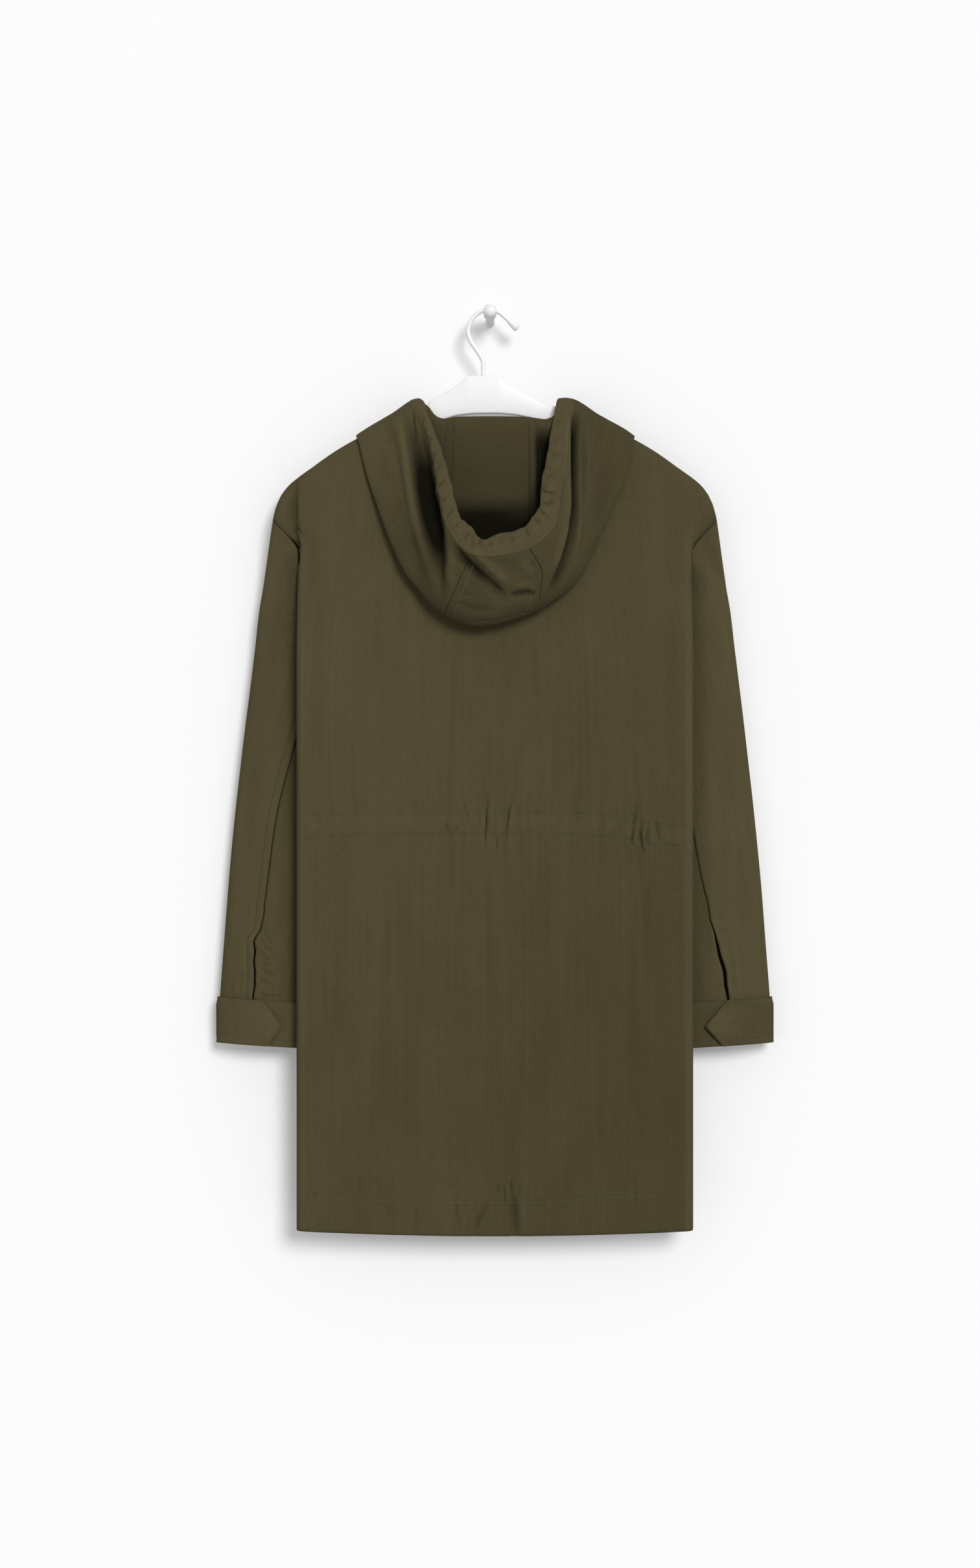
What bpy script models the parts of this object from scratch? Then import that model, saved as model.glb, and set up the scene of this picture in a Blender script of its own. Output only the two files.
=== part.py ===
"""A hooded parka that hangs, back to the viewer, from a hanger on a wall peg.

Lengths are millimetres in the garment's own frame: x across, y into the wall and z up, with x zero on
the garment's centre line. They become metres, measured from the middle of the peg's flat wall face,
when a piece is made. Left and right are the wearer's, and the wearer's left is at -x.
"""

import math
from collections import namedtuple

import bmesh
import bpy
import numpy as np

MM = 0.001
QUARTER = math.pi / 2

# Where the garment hangs, measured from the peg's wall face
GARMENT_X = 5.25
GARMENT_Z = 8.0

# Cloth
CLOTH = 1.2
GAP = 0.3
LAYER = CLOTH + GAP
CUFF_CLOTH = 2.0

# Body: the shoulder ridge lies over the hanger, and the back swells out below it
RIDGE_Y = -29.0
RIDGE_R = 9.0
BACK_SWELL = 20.0
FRONT_SWELL = 6.0
SWELL_RUN = 200.0
SHOULDER_W = 240.0
SLOPE_SPAN = 30.0
LEAST_COS = 0.45
NECK_HALF = 80.0
NECK_SQUARENESS = 8
NECK_COLUMNS = (58.0, 67.0, 73.2, 76.7, 80.0)
NECK_SEAM = 1.7
NAPE_DROP = 27.6
THROAT_DROP = 92.0
SEAM_REACH = -6.0
SEAM_BACK_FROM_X = 150.0
SEAM_BACK_RUN = 80.0
HEM_Z = -997.0
BACK_HEM_DIP = 2.6
BACK_HEM_RISE = 9.0
FRONT_HEM_DIP = 1.0
FRONT_HEM_RISE = 7.0
YOKE_Z = -420.0

# Side fold: the back panel turns behind itself here and runs in to the side seam
FOLD_X = 204.3
FOLD_R = 9.0
TURN_FROM_Z = -215.0
TURN_TO_Z = -262.0
STRIP_X = 158.0
BULGE_X = 110.0
FRONT_TUCK_FROM_Z = -240.0
FRONT_TUCK_TO_Z = -355.0

# Rows and columns of the body panels
MIN_COLUMN = 3.5
MAX_COLUMN = 30.0
FOLD_COLUMNS = 6
UPPER_SHARES = np.array([0.0, 0.018, 0.036, 0.056, 0.08, 0.14, 0.26, 0.44, 0.68, 1.0])
BACK_ROWS_Z = np.array([-480.0, -525.0, -544.0, -558.0, -572.0, -595.0, -645.0, -730.0, -840.0, -955.0])
FRONT_ROWS_Z = np.array([-500.0, -600.0, -720.0, -860.0])
FRONT_NECK_COLUMNS = 11
FRONT_SHOULDER_COLUMNS = 10

Outline = namedtuple("Outline", "x z")
SHOULDER = (
    Outline(0.0, -103.0),
    Outline(78.0, -103.0),
    Outline(110.0, -118.5),
    Outline(149.0, -138.3),
    Outline(169.0, -149.6),
    Outline(190.0, -163.5),
    Outline(210.0, -178.0),
    Outline(219.0, -185.0),
    Outline(226.0, -192.0),
    Outline(231.0, -199.0),
    Outline(234.5, -206.0),
    Outline(237.3, -213.0),
    Outline(240.5, -226.0),
    Outline(244.7, -254.0),
    Outline(253.0, -310.0),
    Outline(275.0, -480.0),
)

# Armhole and side seam: how far each panel reaches from the centre line along its cloth, and how far
# the back's edge strip has turned behind the body, in radians
Edge = namedtuple("Edge", "z back front turn")
SIDE_EDGE = (
    Edge(-1010.0, 272.0, 164.4, math.pi),
    Edge(-420.0, 272.0, 164.4, math.pi),
    Edge(-366.0, 272.0, 164.4, math.pi),
    Edge(-350.0, 265.0, 168.5, math.pi),
    Edge(-330.0, 251.0, 180.5, math.pi),
    Edge(-315.0, 240.0, 190.0, math.pi),
    Edge(-300.0, 229.0, 199.0, 2.95),
    Edge(-285.0, 222.0, 208.0, 2.55),
    Edge(-269.0, 219.0, 217.0, 1.90),
    Edge(-255.0, 223.0, 225.0, 1.27),
    Edge(-240.0, 231.0, 233.0, 0.70),
    Edge(-226.0, 240.0, 240.0, 0.30),
    Edge(-90.0, 240.0, 240.0, 0.0),
)
ARMPIT_Z = -366.0
ARMHOLE_STAND = 2.3
ARMHOLE_STAND_BEHIND = 1.4
ARMHOLE_END_SHARE = 0.12
ARMHOLE_END_LEAN = 0.999
ARMHOLE_BEHIND_FROM = 0.3
ARMHOLE_BEHIND_RUN = 0.15
ARMHOLE_STEPS = 80
SHOULDER_END_Z = -226.0

# Gathers drawn up by the waist casing, and the long soft folds of the back
Gather = namedtuple("Gather", "x width rise up down")
WAIST_TOP_Z = -546.0
WAIST_LOW_Z = -570.0
GATHERS = (
    Gather(-112.0, 7.0, 1.6, 25.0, 35.0),
    Gather(-46.0, 6.0, 2.0, 60.0, 70.0),
    Gather(-30.0, 6.0, 1.6, 25.0, 35.0),
    Gather(-10.0, 5.0, 2.6, 80.0, 20.0),
    Gather(2.0, 5.0, 1.8, 15.0, 60.0),
    Gather(15.0, 6.0, 2.5, 40.0, 60.0),
    Gather(117.0, 6.0, 1.6, 25.0, 35.0),
    Gather(133.0, 6.0, 1.8, 25.0, 45.0),
    Gather(148.0, 5.5, 2.5, 55.0, 65.0),
    Gather(160.0, 5.5, 2.5, 35.0, 115.0),
    Gather(194.0, 5.0, 1.5, 25.0, 45.0),
)
SoftFold = namedtuple("SoftFold", "x width rise top low")
SOFT_FOLDS = (
    SoftFold(-150.0, 24.0, 1.8, -300.0, -800.0),
    SoftFold(-80.0, 22.0, 2.0, -600.0, -990.0),
    SoftFold(64.0, 20.0, 2.2, -380.0, -900.0),
    SoftFold(95.0, 18.0, 1.8, -330.0, -760.0),
    SoftFold(24.0, 16.0, 1.8, -820.0, -990.0),
)

# Sleeve: outer and inner fold lines, the tube's middle depth and its half thickness
Section = namedtuple("Section", "outer_x outer_z inner_x inner_z mid_y half_y")
SLEEVE = (
    Section(253.0, -310.0, 158.0, -398.0, -22.0, 11.0),
    Section(260.6, -366.0, 152.0, -446.0, -20.5, 12.0),
    Section(267.6, -422.0, 150.0, -498.0, -20.0, 12.0),
    Section(274.6, -478.0, 150.0, -546.0, -19.5, 12.0),
    Section(281.0, -534.0, 152.0, -592.0, -19.5, 12.0),
    Section(286.5, -590.0, 157.0, -637.0, -19.5, 12.0),
    Section(291.4, -646.0, 164.0, -680.0, -19.5, 12.0),
    Section(295.6, -702.0, 171.0, -718.0, -19.5, 12.0),
    Section(298.7, -744.0, 176.0, -752.0, -19.5, 12.0),
    Section(298.9, -753.0, 176.4, -761.0, -19.5, 12.0),
)
# Sleeve seam: its angle round the tube at each section and the width that it stands open
Seam = namedtuple("Seam", "left right left_open right_open")
SLEEVE_SEAM = (
    Seam(1.80, 1.95, 0.4, 0.4),
    Seam(1.74, 1.90, 0.4, 0.4),
    Seam(1.66, 1.82, 0.4, 0.4),
    Seam(1.50, 1.76, 0.4, 0.4),
    Seam(1.34, 1.68, 0.4, 0.4),
    Seam(1.23, 1.60, 0.4, 0.4),
    Seam(1.20, 1.54, 0.4, 0.4),
    Seam(1.18, 1.45, 0.5, 0.6),
    Seam(1.14, 1.37, 4.0, 5.0),
    Seam(1.15, 1.31, 2.4, 3.0),
    Seam(1.15, 1.30, 0.8, 0.8),
)
# The left seam lies nearer to the outer fold, so that sleeve needs more columns between its folds
SLEEVE_COLUMNS = {"left": 31, "right": 25}
ARMHOLE_SEAM_SHARE = 0.0012
SLEEVE_HALF_WIDTH = 58.0
# Sections at which the sleeve is worked out: closer at the cap and along the vent
SLEEVE_AT = np.array([0.0, 0.3, 0.65, 1.0, 2.0, 3.0, 4.0, 5.0, 6.0, 7.5, 8.0, 8.5, 9.0, 10.0])
FOLD_CROWDING = 0.36

# Cuffs: one strip each, its pointed end lapped over its start
CUFF_HEIGHT = 47.0
CUFF_TOP = Section(298.9, -744.6, 176.0, -752.6, -19.5, 12.0)
CUFF_EASE = CLOTH / 2 + 2 * GAP + CUFF_CLOTH / 2
CUFF_START = 0.85
CUFF_LAP_RUN = 1.1
CUFF_COLUMNS = 33
Tab = namedtuple("Tab", "height left right")
TAB_END = (
    Tab(0.00, 1.38, 1.45),
    Tab(0.28, 1.55, 1.62),
    Tab(0.52, 1.70, 1.76),
    Tab(0.76, 1.56, 1.60),
    Tab(1.00, 1.42, 1.42),
)

# Hood: each row runs from the neck seam out to the outer fold and back over to the drawstring
# casing and the face edge. The roll, low, fold, high and rim columns are how far the cloth stands out
# from the body there and hem is the casing's depth; side is -1 on the front, 0 on the ridge, 1 behind.
HoodRow = namedtuple(
    "HoodRow", "side neck_x fold_x fold_z line_x line_z edge_x edge_z roll low fold high rim hem"
)
RIDGE = 0.0
FRONT_ROWS = (
    HoodRow(-1, 9.0, 26.0, -218.0, 20.0, -212.0, 12.0, -197.0, 1.6, 2.2, 3.4, 4.6, 5.7, 1.6),
    HoodRow(-1, 38.0, 66.0, -214.0, 54.0, -198.0, 42.0, -184.0, 1.6, 2.2, 3.4, 4.6, 5.7, 1.6),
    HoodRow(-1, 64.0, 106.0, -186.0, 84.0, -164.0, 68.0, -153.0, 1.6, 2.2, 3.4, 4.6, 5.7, 1.6),
    HoodRow(-1, 75.0, 136.0, -158.0, 93.0, -131.0, 77.5, -123.0, 1.6, 2.2, 3.4, 4.6, 5.7, 1.6),
)
LEFT_ROWS = (
    HoodRow(0, 77.4, 148.5, RIDGE, 98.0, RIDGE, 82.0, RIDGE, 1.6, 2.2, 3.4, 4.6, 5.7, 1.6),
    HoodRow(1, 73.5, 145.5, -148.0, 87.0, -114.0, 75.5, -107.5, 3.0, 2.8, 4.2, 6.5, 8.5, 2.6),
    HoodRow(1, 66.0, 138.0, -178.0, 76.0, -135.0, 67.0, -130.0, 5.0, 3.2, 6.0, 11.0, 15.0, 3.5),
    HoodRow(1, 59.0, 126.0, -214.0, 69.0, -166.0, 56.0, -163.0, 7.0, 4.5, 9.0, 19.0, 25.0, 4.0),
    HoodRow(1, 53.0, 110.0, -256.0, 64.0, -202.0, 47.0, -198.0, 9.0, 6.0, 12.0, 26.0, 34.0, 4.5),
    HoodRow(1, 48.0, 87.0, -298.0, 55.0, -236.0, 40.0, -222.0, 10.0, 7.0, 15.0, 33.0, 40.0, 4.5),
    HoodRow(1, 43.0, 54.5, -332.0, 26.0, -274.0, 22.0, -240.0, 11.0, 8.0, 19.0, 40.0, 44.0, 4.5),
)
RIGHT_ROWS = (
    HoodRow(0, 77.4, 149.5, RIDGE, 98.0, RIDGE, 80.0, RIDGE, 1.6, 2.2, 3.4, 4.6, 5.7, 1.6),
    HoodRow(1, 73.5, 148.0, -148.0, 86.0, -113.0, 66.5, -107.5, 3.0, 2.8, 4.2, 6.5, 8.5, 2.6),
    HoodRow(1, 66.0, 142.0, -178.0, 80.0, -134.0, 61.5, -130.0, 5.0, 3.2, 6.0, 11.0, 15.0, 3.5),
    HoodRow(1, 58.0, 128.0, -213.0, 77.0, -166.0, 56.5, -163.0, 7.0, 4.5, 9.0, 19.0, 25.0, 4.0),
    HoodRow(1, 50.0, 110.0, -254.0, 71.0, -202.0, 50.0, -198.0, 9.0, 6.0, 12.0, 26.0, 34.0, 4.5),
    HoodRow(1, 42.0, 82.0, -302.0, 65.0, -240.0, 51.0, -219.0, 10.0, 7.0, 15.0, 33.0, 40.0, 4.5),
    HoodRow(1, 36.0, 39.5, -330.0, 38.0, -266.0, 27.0, -238.0, 11.0, 8.0, 19.0, 40.0, 44.0, 4.5),
)
# Middle of the centre strip, whose x is measured to the wearer's left
CREST_ROW = HoodRow(1, 3.5, 16.0, -344.0, 3.0, -272.0, 6.0, -248.0, 12.0, 9.0, 21.0, 44.0, 45.0, 4.5)
# Stations across a hood row, as shares of its run from neck to fold and from fold to casing line
ROLL_BACK = 0.6
ROLL_OVER = 0.4
ROLL_GAP = 0.6
LOW_FROM = 0.30
LOW_TO = 0.78
TOP_FROM = 0.22
TOP_MIDDLE = 0.62
# Places across a hood row, counted in stations: close together round the neck roll and the outer fold
HOOD_AT = np.array([0.0, 0.57, 1.14, 1.71, 2.29, 2.86, 3.43, 4.0, 4.57, 5.0, 5.5, 6.0, 6.6, 7.3, 8.0])
# Rows at which each hood side is worked out: close together over the ridge and round the hood's foot
SIDE_AT = np.array(
    [0.0, 0.8, 1.5, 2.2, 2.8, 3.25, 3.55, 3.72, 3.86, 4.0, 4.25, 4.5, 4.75, 5.0, 5.5]
    + [6.0, 6.5, 7.0, 7.5, 8.0, 8.5, 9.0, 9.3, 9.65, 10.0]
)
CENTRE_COLUMNS = 7
SEAM_SHARE = 0.022
CASING_COLUMNS = 65
CASING_FREE_FROM = 4.7
CASING_SEAM = 2.2
CASING_WAVES = 23.0
CASING_WAVE_DRIFT = 0.55
CASING_WAVE_DRIFTS = 3
CASING_WAVE_DEPTH = 1.5
CASING_WAVE_SHARES = np.array([0.0, 0.7, 0.5, 0.5, 0.1])
CASING_EDGE_SWAY = 0.8
CASING_FREE_RIM = 7.0
CASING_FREE_RUN = 20.0

# Front closing
FRONT_EDGE_X = 1.0
PLACKET_HALF = 24.0
PLACKET_TOP_Z = -222.0
PLACKET_ROWS = 12

# Hanger, hook and peg
HANGER_HALF_Y = 4.0
HANGER_CLEAR = 3.7
HANGER_STEM_X = -12.6
HANGER_ARM_X = 86.0
HANGER_END_X = 196.0
HANGER_END_ROUND = 0.4
HANGER_ARM_HEIGHT = 20.0
HANGER_ARM_STEPS = 9
# Crown above the neckline, x from the stem, with a notch that clears the hood's edge, and the arch
CROWN = (
    Outline(-66.4, -108.2),
    Outline(-61.9, -106.4),
    Outline(-59.4, -98.4),
    Outline(-39.4, -87.0),
    Outline(-24.4, -77.0),
    Outline(-17.5, -69.7),
    Outline(17.5, -69.7),
    Outline(24.5, -77.0),
    Outline(40.5, -87.0),
    Outline(64.5, -99.8),
)
ARCH = (
    Outline(52.6, -116.5),
    Outline(32.6, -112.6),
    Outline(12.6, -111.2),
    Outline(-7.4, -111.4),
    Outline(-27.4, -113.4),
    Outline(-47.4, -119.5),
)
HOOK_R = 2.25
HOOK_STEPS = 34
Bend = namedtuple("Bend", "x z radius")
HOOK = (
    Bend(-12.6, -69.3, 1.0),
    Bend(-12.6, -56.0, 1.0),
    Bend(-15.5, -48.5, 1.0),
    Bend(-20.9, -40.2, 1.0),
    Bend(-27.0, -30.3, 1.0),
    Bend(-29.2, -21.2, 1.0),
    Bend(-27.0, -12.1, 1.0),
    Bend(-20.9, -3.7, 1.0),
    Bend(-13.2, 0.9, 1.0),
    Bend(-5.2, 2.9, 1.0),
    Bend(4.1, -0.4, 1.0),
    Bend(11.8, -6.6, 1.0),
    Bend(19.4, -13.9, 1.4),
    Bend(23.5, -17.2, 1.75),
    Bend(25.6, -18.6, 1.1),
)
PEG_NECK_R = 4.9
PEG_HEAD_R = 7.2
PEG_NECK_LENGTH = 33.0
PEG_LENGTH = 54.0
PEG_RISE = 6.3
PEG_DOME = 5.0
PEG_SHOULDER_FROM = 0.5
PEG_SHOULDER_TO = 3.0
PEG_ROOT = 4.0
PEG_STEPS = 20
WALL_BLOCK = 40.0

OLIVE = (0.076, 0.063, 0.033, 1.0)
WHITE = (0.85, 0.85, 0.84, 1.0)


def column(table, name):
    """One named column of a table as an array."""
    return np.array([getattr(row, name) for row in table], dtype=float)


def smooth(keys, values, at):
    """Cubic curve through the values that never swings past them between two keys."""
    at = np.asarray(at, dtype=float)
    steps = np.diff(values, axis=0) / np.diff(keys).reshape((-1,) + (1,) * (values.ndim - 1))
    before, after = steps[:-1], steps[1:]
    rising = before * after > 0
    total = np.where(rising, before + after, 1.0)
    inner = np.where(rising, 2 * before * after / total, 0.0)
    slopes = np.concatenate([steps[:1], inner, steps[-1:]])
    left = np.clip(np.searchsorted(keys, at, side="right") - 1, 0, len(keys) - 2)
    span = keys[left + 1] - keys[left]
    t = np.clip((at - keys[left]) / span, 0.0, 1.0)
    if values.ndim > at.ndim:
        extra = (1,) * (values.ndim - 1)
        t = t.reshape(t.shape + extra)
        span = span.reshape(span.shape + extra)
    near = values[left] * (1 + 2 * t) * (1 - t) ** 2 + slopes[left] * span * t * (1 - t) ** 2
    far = values[left + 1] * t * t * (3 - 2 * t) + slopes[left + 1] * span * t * t * (t - 1)
    return near + far


def ease(t):
    """Smooth step from 0 to 1."""
    t = np.clip(t, 0.0, 1.0)
    return t * t * (3 - 2 * t)


def ridge_z(x):
    """Height of the shoulder ridge at a distance from the centre line."""
    return smooth(column(SHOULDER, "x"), column(SHOULDER, "z"), np.abs(x))


def ridge_cos(x):
    """Cosine of the ridge's slope, kept from closing up where the ridge turns down the sleeve."""
    outer = np.abs(x) + SLOPE_SPAN
    inner = np.maximum(np.abs(x) - SLOPE_SPAN, 0.0)
    slope = (ridge_z(outer) - ridge_z(inner)) / (outer - inner)
    return np.maximum(1 / np.sqrt(1 + slope * slope), LEAST_COS)


def edge_value(name, z):
    """A column of the side edge table at a height."""
    return smooth(column(SIDE_EDGE, "z"), column(SIDE_EDGE, name), z)


def reach_at(x, z):
    """Length of cloth from the ridge down to a height, for a point on either side of the body."""
    drop = np.maximum((ridge_z(x) - z) * ridge_cos(x), 0.0)
    turned = RIDGE_R * np.arccos(np.clip(1 - drop / RIDGE_R, 0.0, 1.0))
    return np.where(drop < RIDGE_R, turned, RIDGE_R * QUARTER + drop - RIDGE_R)


def drape(x, reach):
    """Height, drop and turn of a point that lies a reach of cloth away from the ridge at x."""
    turn = np.minimum(np.abs(reach) / RIDGE_R, QUARTER)
    drop = RIDGE_R * (1 - np.cos(turn)) + np.maximum(np.abs(reach) - RIDGE_R * QUARTER, 0.0)
    return ridge_z(x) - drop / ridge_cos(x), drop, turn


def body_surface(x, reach):
    """Plain body surface under the hood: reach is positive down the back and negative down the front."""
    z, drop, turn = drape(x, reach)
    top_x = x * SHOULDER_W / edge_value("back", z)
    back_drop = np.maximum((ridge_z(top_x) - z) * ridge_cos(top_x), 0.0)
    back = RIDGE_R * np.sin(turn) + BACK_SWELL * ease(back_drop / SWELL_RUN)
    front = RIDGE_R * np.sin(turn) + FRONT_SWELL * ease(drop / SWELL_RUN)
    y = RIDGE_Y + np.where(reach > 0, -back, front)
    return np.stack([x + 0 * y, y, z], axis=-1)


def body_normal(x, reach):
    """Outward direction of the body surface."""
    step = 0.5
    along = body_surface(x + step, reach) - body_surface(x - step, reach)
    down = body_surface(x, reach + step) - body_surface(x, reach - step)
    normal = np.cross(down, along)
    return normal / np.linalg.norm(normal, axis=-1, keepdims=True)


def gathered(x, z):
    """How far the gathers and soft folds of the back stand out at a point."""
    rise = np.zeros(np.broadcast(x, z).shape)
    for gather in GATHERS:
        above = ease(1 - (z - WAIST_TOP_Z) / gather.up)
        below = ease(1 - (WAIST_LOW_Z - z) / gather.down)
        across = ease(1 - np.abs(x - gather.x) / gather.width)
        rise = rise + gather.rise * across * np.minimum(above, below)
    for fold in SOFT_FOLDS:
        along = np.clip((fold.top - z) / (fold.top - fold.low), 0.0, 1.0)
        across = ease(1 - np.abs(x - fold.x) / fold.width)
        rise = rise + fold.rise * across * np.sin(math.pi * along) ** 2
    return rise


def back_point(u, reach):
    """Back panel: u runs from -1 to 1 across it and reach down it from the shoulder ridge."""
    top_x = np.abs(u) * SHOULDER_W
    z, drop, turn = drape(top_x, reach)
    width = edge_value("back", z)
    along = np.abs(u) * width
    out = RIDGE_R * np.sin(turn) + BACK_SWELL * ease(drop / SWELL_RUN)
    flat = np.stack([along, RIDGE_Y - np.sign(reach) * out, z], axis=-1)
    hinge_x = FOLD_X * SHOULDER_W / width
    hinge_drop = np.maximum((ridge_z(hinge_x) - z) * ridge_cos(hinge_x), RIDGE_R)
    hinge_y = RIDGE_Y - RIDGE_R - BACK_SWELL * ease(hinge_drop / SWELL_RUN)
    bend = edge_value("turn", z)
    beyond = np.maximum(along - FOLD_X, 0.0)
    turned = np.minimum(beyond / FOLD_R, bend)
    rest = np.maximum(beyond - FOLD_R * bend, 0.0)
    fold_x = FOLD_X + FOLD_R * np.sin(turned) + rest * np.cos(bend)
    fold_y = hinge_y + FOLD_R * (1 - np.cos(turned)) + rest * np.sin(bend)
    folded = np.stack([fold_x, fold_y, z], axis=-1)
    share = ease((TURN_FROM_Z - z) / (TURN_FROM_Z - TURN_TO_Z)) * (beyond > 0)
    point = flat + share[..., None] * (folded - flat)
    point[..., 0] = point[..., 0] * np.sign(u)
    point[..., 1] = point[..., 1] - gathered(np.sign(u) * along, z) * (beyond <= 0)
    return point


def strip_y(z):
    """Depth of the back's edge strip where it lies folded behind the body."""
    hinge_x = FOLD_X * SHOULDER_W / edge_value("back", z)
    drop = np.maximum((ridge_z(hinge_x) - z) * ridge_cos(hinge_x), RIDGE_R)
    return RIDGE_Y - RIDGE_R - BACK_SWELL * ease(drop / SWELL_RUN) + 2 * FOLD_R


def front_point(u, reach):
    """Front panel on the +x side: u runs from the closing, 0, to the armhole and side seam, 1."""
    top_x = FRONT_EDGE_X + u * (SHOULDER_W - FRONT_EDGE_X)
    z, drop, turn = drape(top_x, reach)
    x = FRONT_EDGE_X + u * (edge_value("front", z) - FRONT_EDGE_X)
    bulge = RIDGE_Y + RIDGE_R * np.sin(turn) + FRONT_SWELL * ease(drop / SWELL_RUN)
    outward = ease((x - BULGE_X) / (STRIP_X - BULGE_X))
    downward = ease((FRONT_TUCK_FROM_Z - z) / (FRONT_TUCK_FROM_Z - FRONT_TUCK_TO_Z))
    y = bulge + outward * downward * (strip_y(z) - bulge)
    return np.stack([x, y, z], axis=-1)


def back_neck_reach(x):
    """Where the back panel starts: the neck seam, then the shoulder seam just in front of the ridge."""
    x = np.abs(x)
    shoulder = SEAM_REACH * (1 - ease((x - SEAM_BACK_FROM_X) / SEAM_BACK_RUN))
    neck = NAPE_DROP + (SEAM_REACH - NAPE_DROP) * np.minimum(x / NECK_HALF, 1.0) ** NECK_SQUARENESS
    return np.where(x < NECK_HALF, neck, shoulder)


def front_neck_reach(x):
    """Where a front starts: its neck seam, then the shoulder seam against the back panel's edge."""
    hollow = np.sqrt(np.maximum(1 - (x / NECK_HALF) ** 2, 0.0))
    return back_neck_reach(np.maximum(x, NECK_HALF)) - 2 * GAP - THROAT_DROP * hollow


def panel_rows(top_x, start, rows_z, hem_z, sign):
    """Reach of every row of a body panel: shares of the yoke, then set heights down to the hem."""
    end = sign * reach_at(top_x, YOKE_Z + 0 * top_x)
    upper = start + UPPER_SHARES[:, None] * (end - start)
    lower = sign * reach_at(top_x[None, :], rows_z[:, None] + 0 * top_x[None, :])
    hem = sign * reach_at(top_x, hem_z)
    return np.vstack([upper, lower, hem[None, :]])


def back_columns():
    """Places across the back: each gather's foot and crest, the side fold's turn, and even filling."""
    width = SIDE_EDGE[0].back
    turn = FOLD_X + FOLD_R * np.linspace(0.0, math.pi, FOLD_COLUMNS)
    neck = np.array(NECK_COLUMNS) * width / SHOULDER_W
    places = [-width, width, *turn, *-turn, *neck, *-neck]
    for gather in GATHERS:
        places += [gather.x - gather.width, gather.x, gather.x + gather.width]
    kept = []
    for place in sorted(places):
        if kept and place - kept[-1] < MIN_COLUMN:
            continue
        if kept and place - kept[-1] > MAX_COLUMN:
            parts = math.ceil((place - kept[-1]) / MAX_COLUMN)
            kept += list(np.linspace(kept[-1], place, parts + 1)[1:-1])
        kept.append(place)
    return np.array(kept) / width


def back_grid():
    """Rows and columns of the back panel's points."""
    u = back_columns()
    top_x = np.abs(u) * SHOULDER_W
    hem_z = HEM_Z - BACK_HEM_DIP + BACK_HEM_RISE * u * u
    reach = panel_rows(top_x, back_neck_reach(top_x), BACK_ROWS_Z, hem_z, 1.0)
    return back_point(np.broadcast_to(u, reach.shape), reach)


def front_grid():
    """Rows and columns of a front's points, on the +x side."""
    turn = np.linspace(math.asin(FRONT_EDGE_X / NECK_HALF), QUARTER, FRONT_NECK_COLUMNS)
    shoulder = np.linspace(NECK_HALF, SHOULDER_W, FRONT_SHOULDER_COLUMNS)
    top_x = np.concatenate([NECK_HALF * np.sin(turn[:-1]), shoulder])
    u = (top_x - FRONT_EDGE_X) / (SHOULDER_W - FRONT_EDGE_X)
    hem_z = HEM_Z - FRONT_HEM_DIP + FRONT_HEM_RISE * u * u
    reach = panel_rows(top_x, front_neck_reach(top_x), FRONT_ROWS_Z, hem_z, -1.0)
    return front_point(np.broadcast_to(u, reach.shape), reach)


def placket_grid():
    """Strip over the closing: the fronts' own points, moved out by a layer of cloth."""
    x = np.linspace(0.0, PLACKET_HALF, 3)
    share = np.linspace(0.0, 1.0, PLACKET_ROWS) ** 2
    z = PLACKET_TOP_Z + (HEM_Z + FRONT_HEM_DIP - PLACKET_TOP_Z) * share
    u = np.broadcast_to((x - FRONT_EDGE_X) / (SHOULDER_W - FRONT_EDGE_X), (len(z), len(x)))
    top_x = FRONT_EDGE_X + u * (SHOULDER_W - FRONT_EDGE_X)
    half = front_point(u, -reach_at(top_x, np.broadcast_to(z[:, None], u.shape)))
    half[..., 0] = x
    half[..., 1] += LAYER + GAP
    other = half[:, :0:-1] * np.array([-1.0, 1.0, 1.0])
    return np.concatenate([other, half], axis=1)


def unit(vectors):
    """Vectors brought to length one."""
    return vectors / np.linalg.norm(vectors, axis=-1, keepdims=True)


def armhole_half(point, sign):
    """One panel's armhole edge from the shoulder end to the armpit, with its outward directions."""
    z = np.linspace(SHOULDER_END_Z, ARMPIT_Z, ARMHOLE_STEPS)
    reach = sign * reach_at(np.full_like(z, SHOULDER_W), z)
    edge = point(np.ones_like(z), reach)
    across = edge - point(np.full_like(z, 0.995), reach)
    down = sign * (point(np.ones_like(z), reach + 0.4) - point(np.ones_like(z), reach - 0.4))
    return edge, unit(sign * np.cross(down, across))


def armhole_ring(angle):
    """Sleeve's top edge round the armhole, a layer of cloth outside the two panels' edges."""
    back, back_out = armhole_half(back_point, 1.0)
    front, front_out = armhole_half(front_point, -1.0)
    share = (1 - np.cos(angle)) / 2
    ends = ease(1 - share / ARMHOLE_END_SHARE) + ease(1 - (1 - share) / ARMHOLE_END_SHARE)
    behind = ease((share - ARMHOLE_BEHIND_FROM) / ARMHOLE_BEHIND_RUN)
    behind = behind * ease((1.0 - share) / ARMHOLE_END_SHARE)
    stand = ARMHOLE_STAND + ARMHOLE_STAND_BEHIND * behind
    rings = []
    for edge, out, other in ((back, back_out, front_out), (front, front_out, back_out)):
        length = np.concatenate([[0.0], np.cumsum(np.linalg.norm(np.diff(edge, axis=0), axis=1))])
        place = share * length[-1]
        own = np.stack([np.interp(place, length, edge[:, k]) for k in range(3)], axis=-1)
        lean = np.stack([np.interp(place, length, out[:, k]) for k in range(3)], axis=-1)
        far = np.stack([np.interp(place, length, other[:, k]) for k in range(3)], axis=-1)
        rings.append(own + stand[:, None] * unit(lean + ARMHOLE_END_LEAN * ends[:, None] * far))
    return np.where(np.sin(angle)[:, None] >= 0, rings[0], rings[1])


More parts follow.
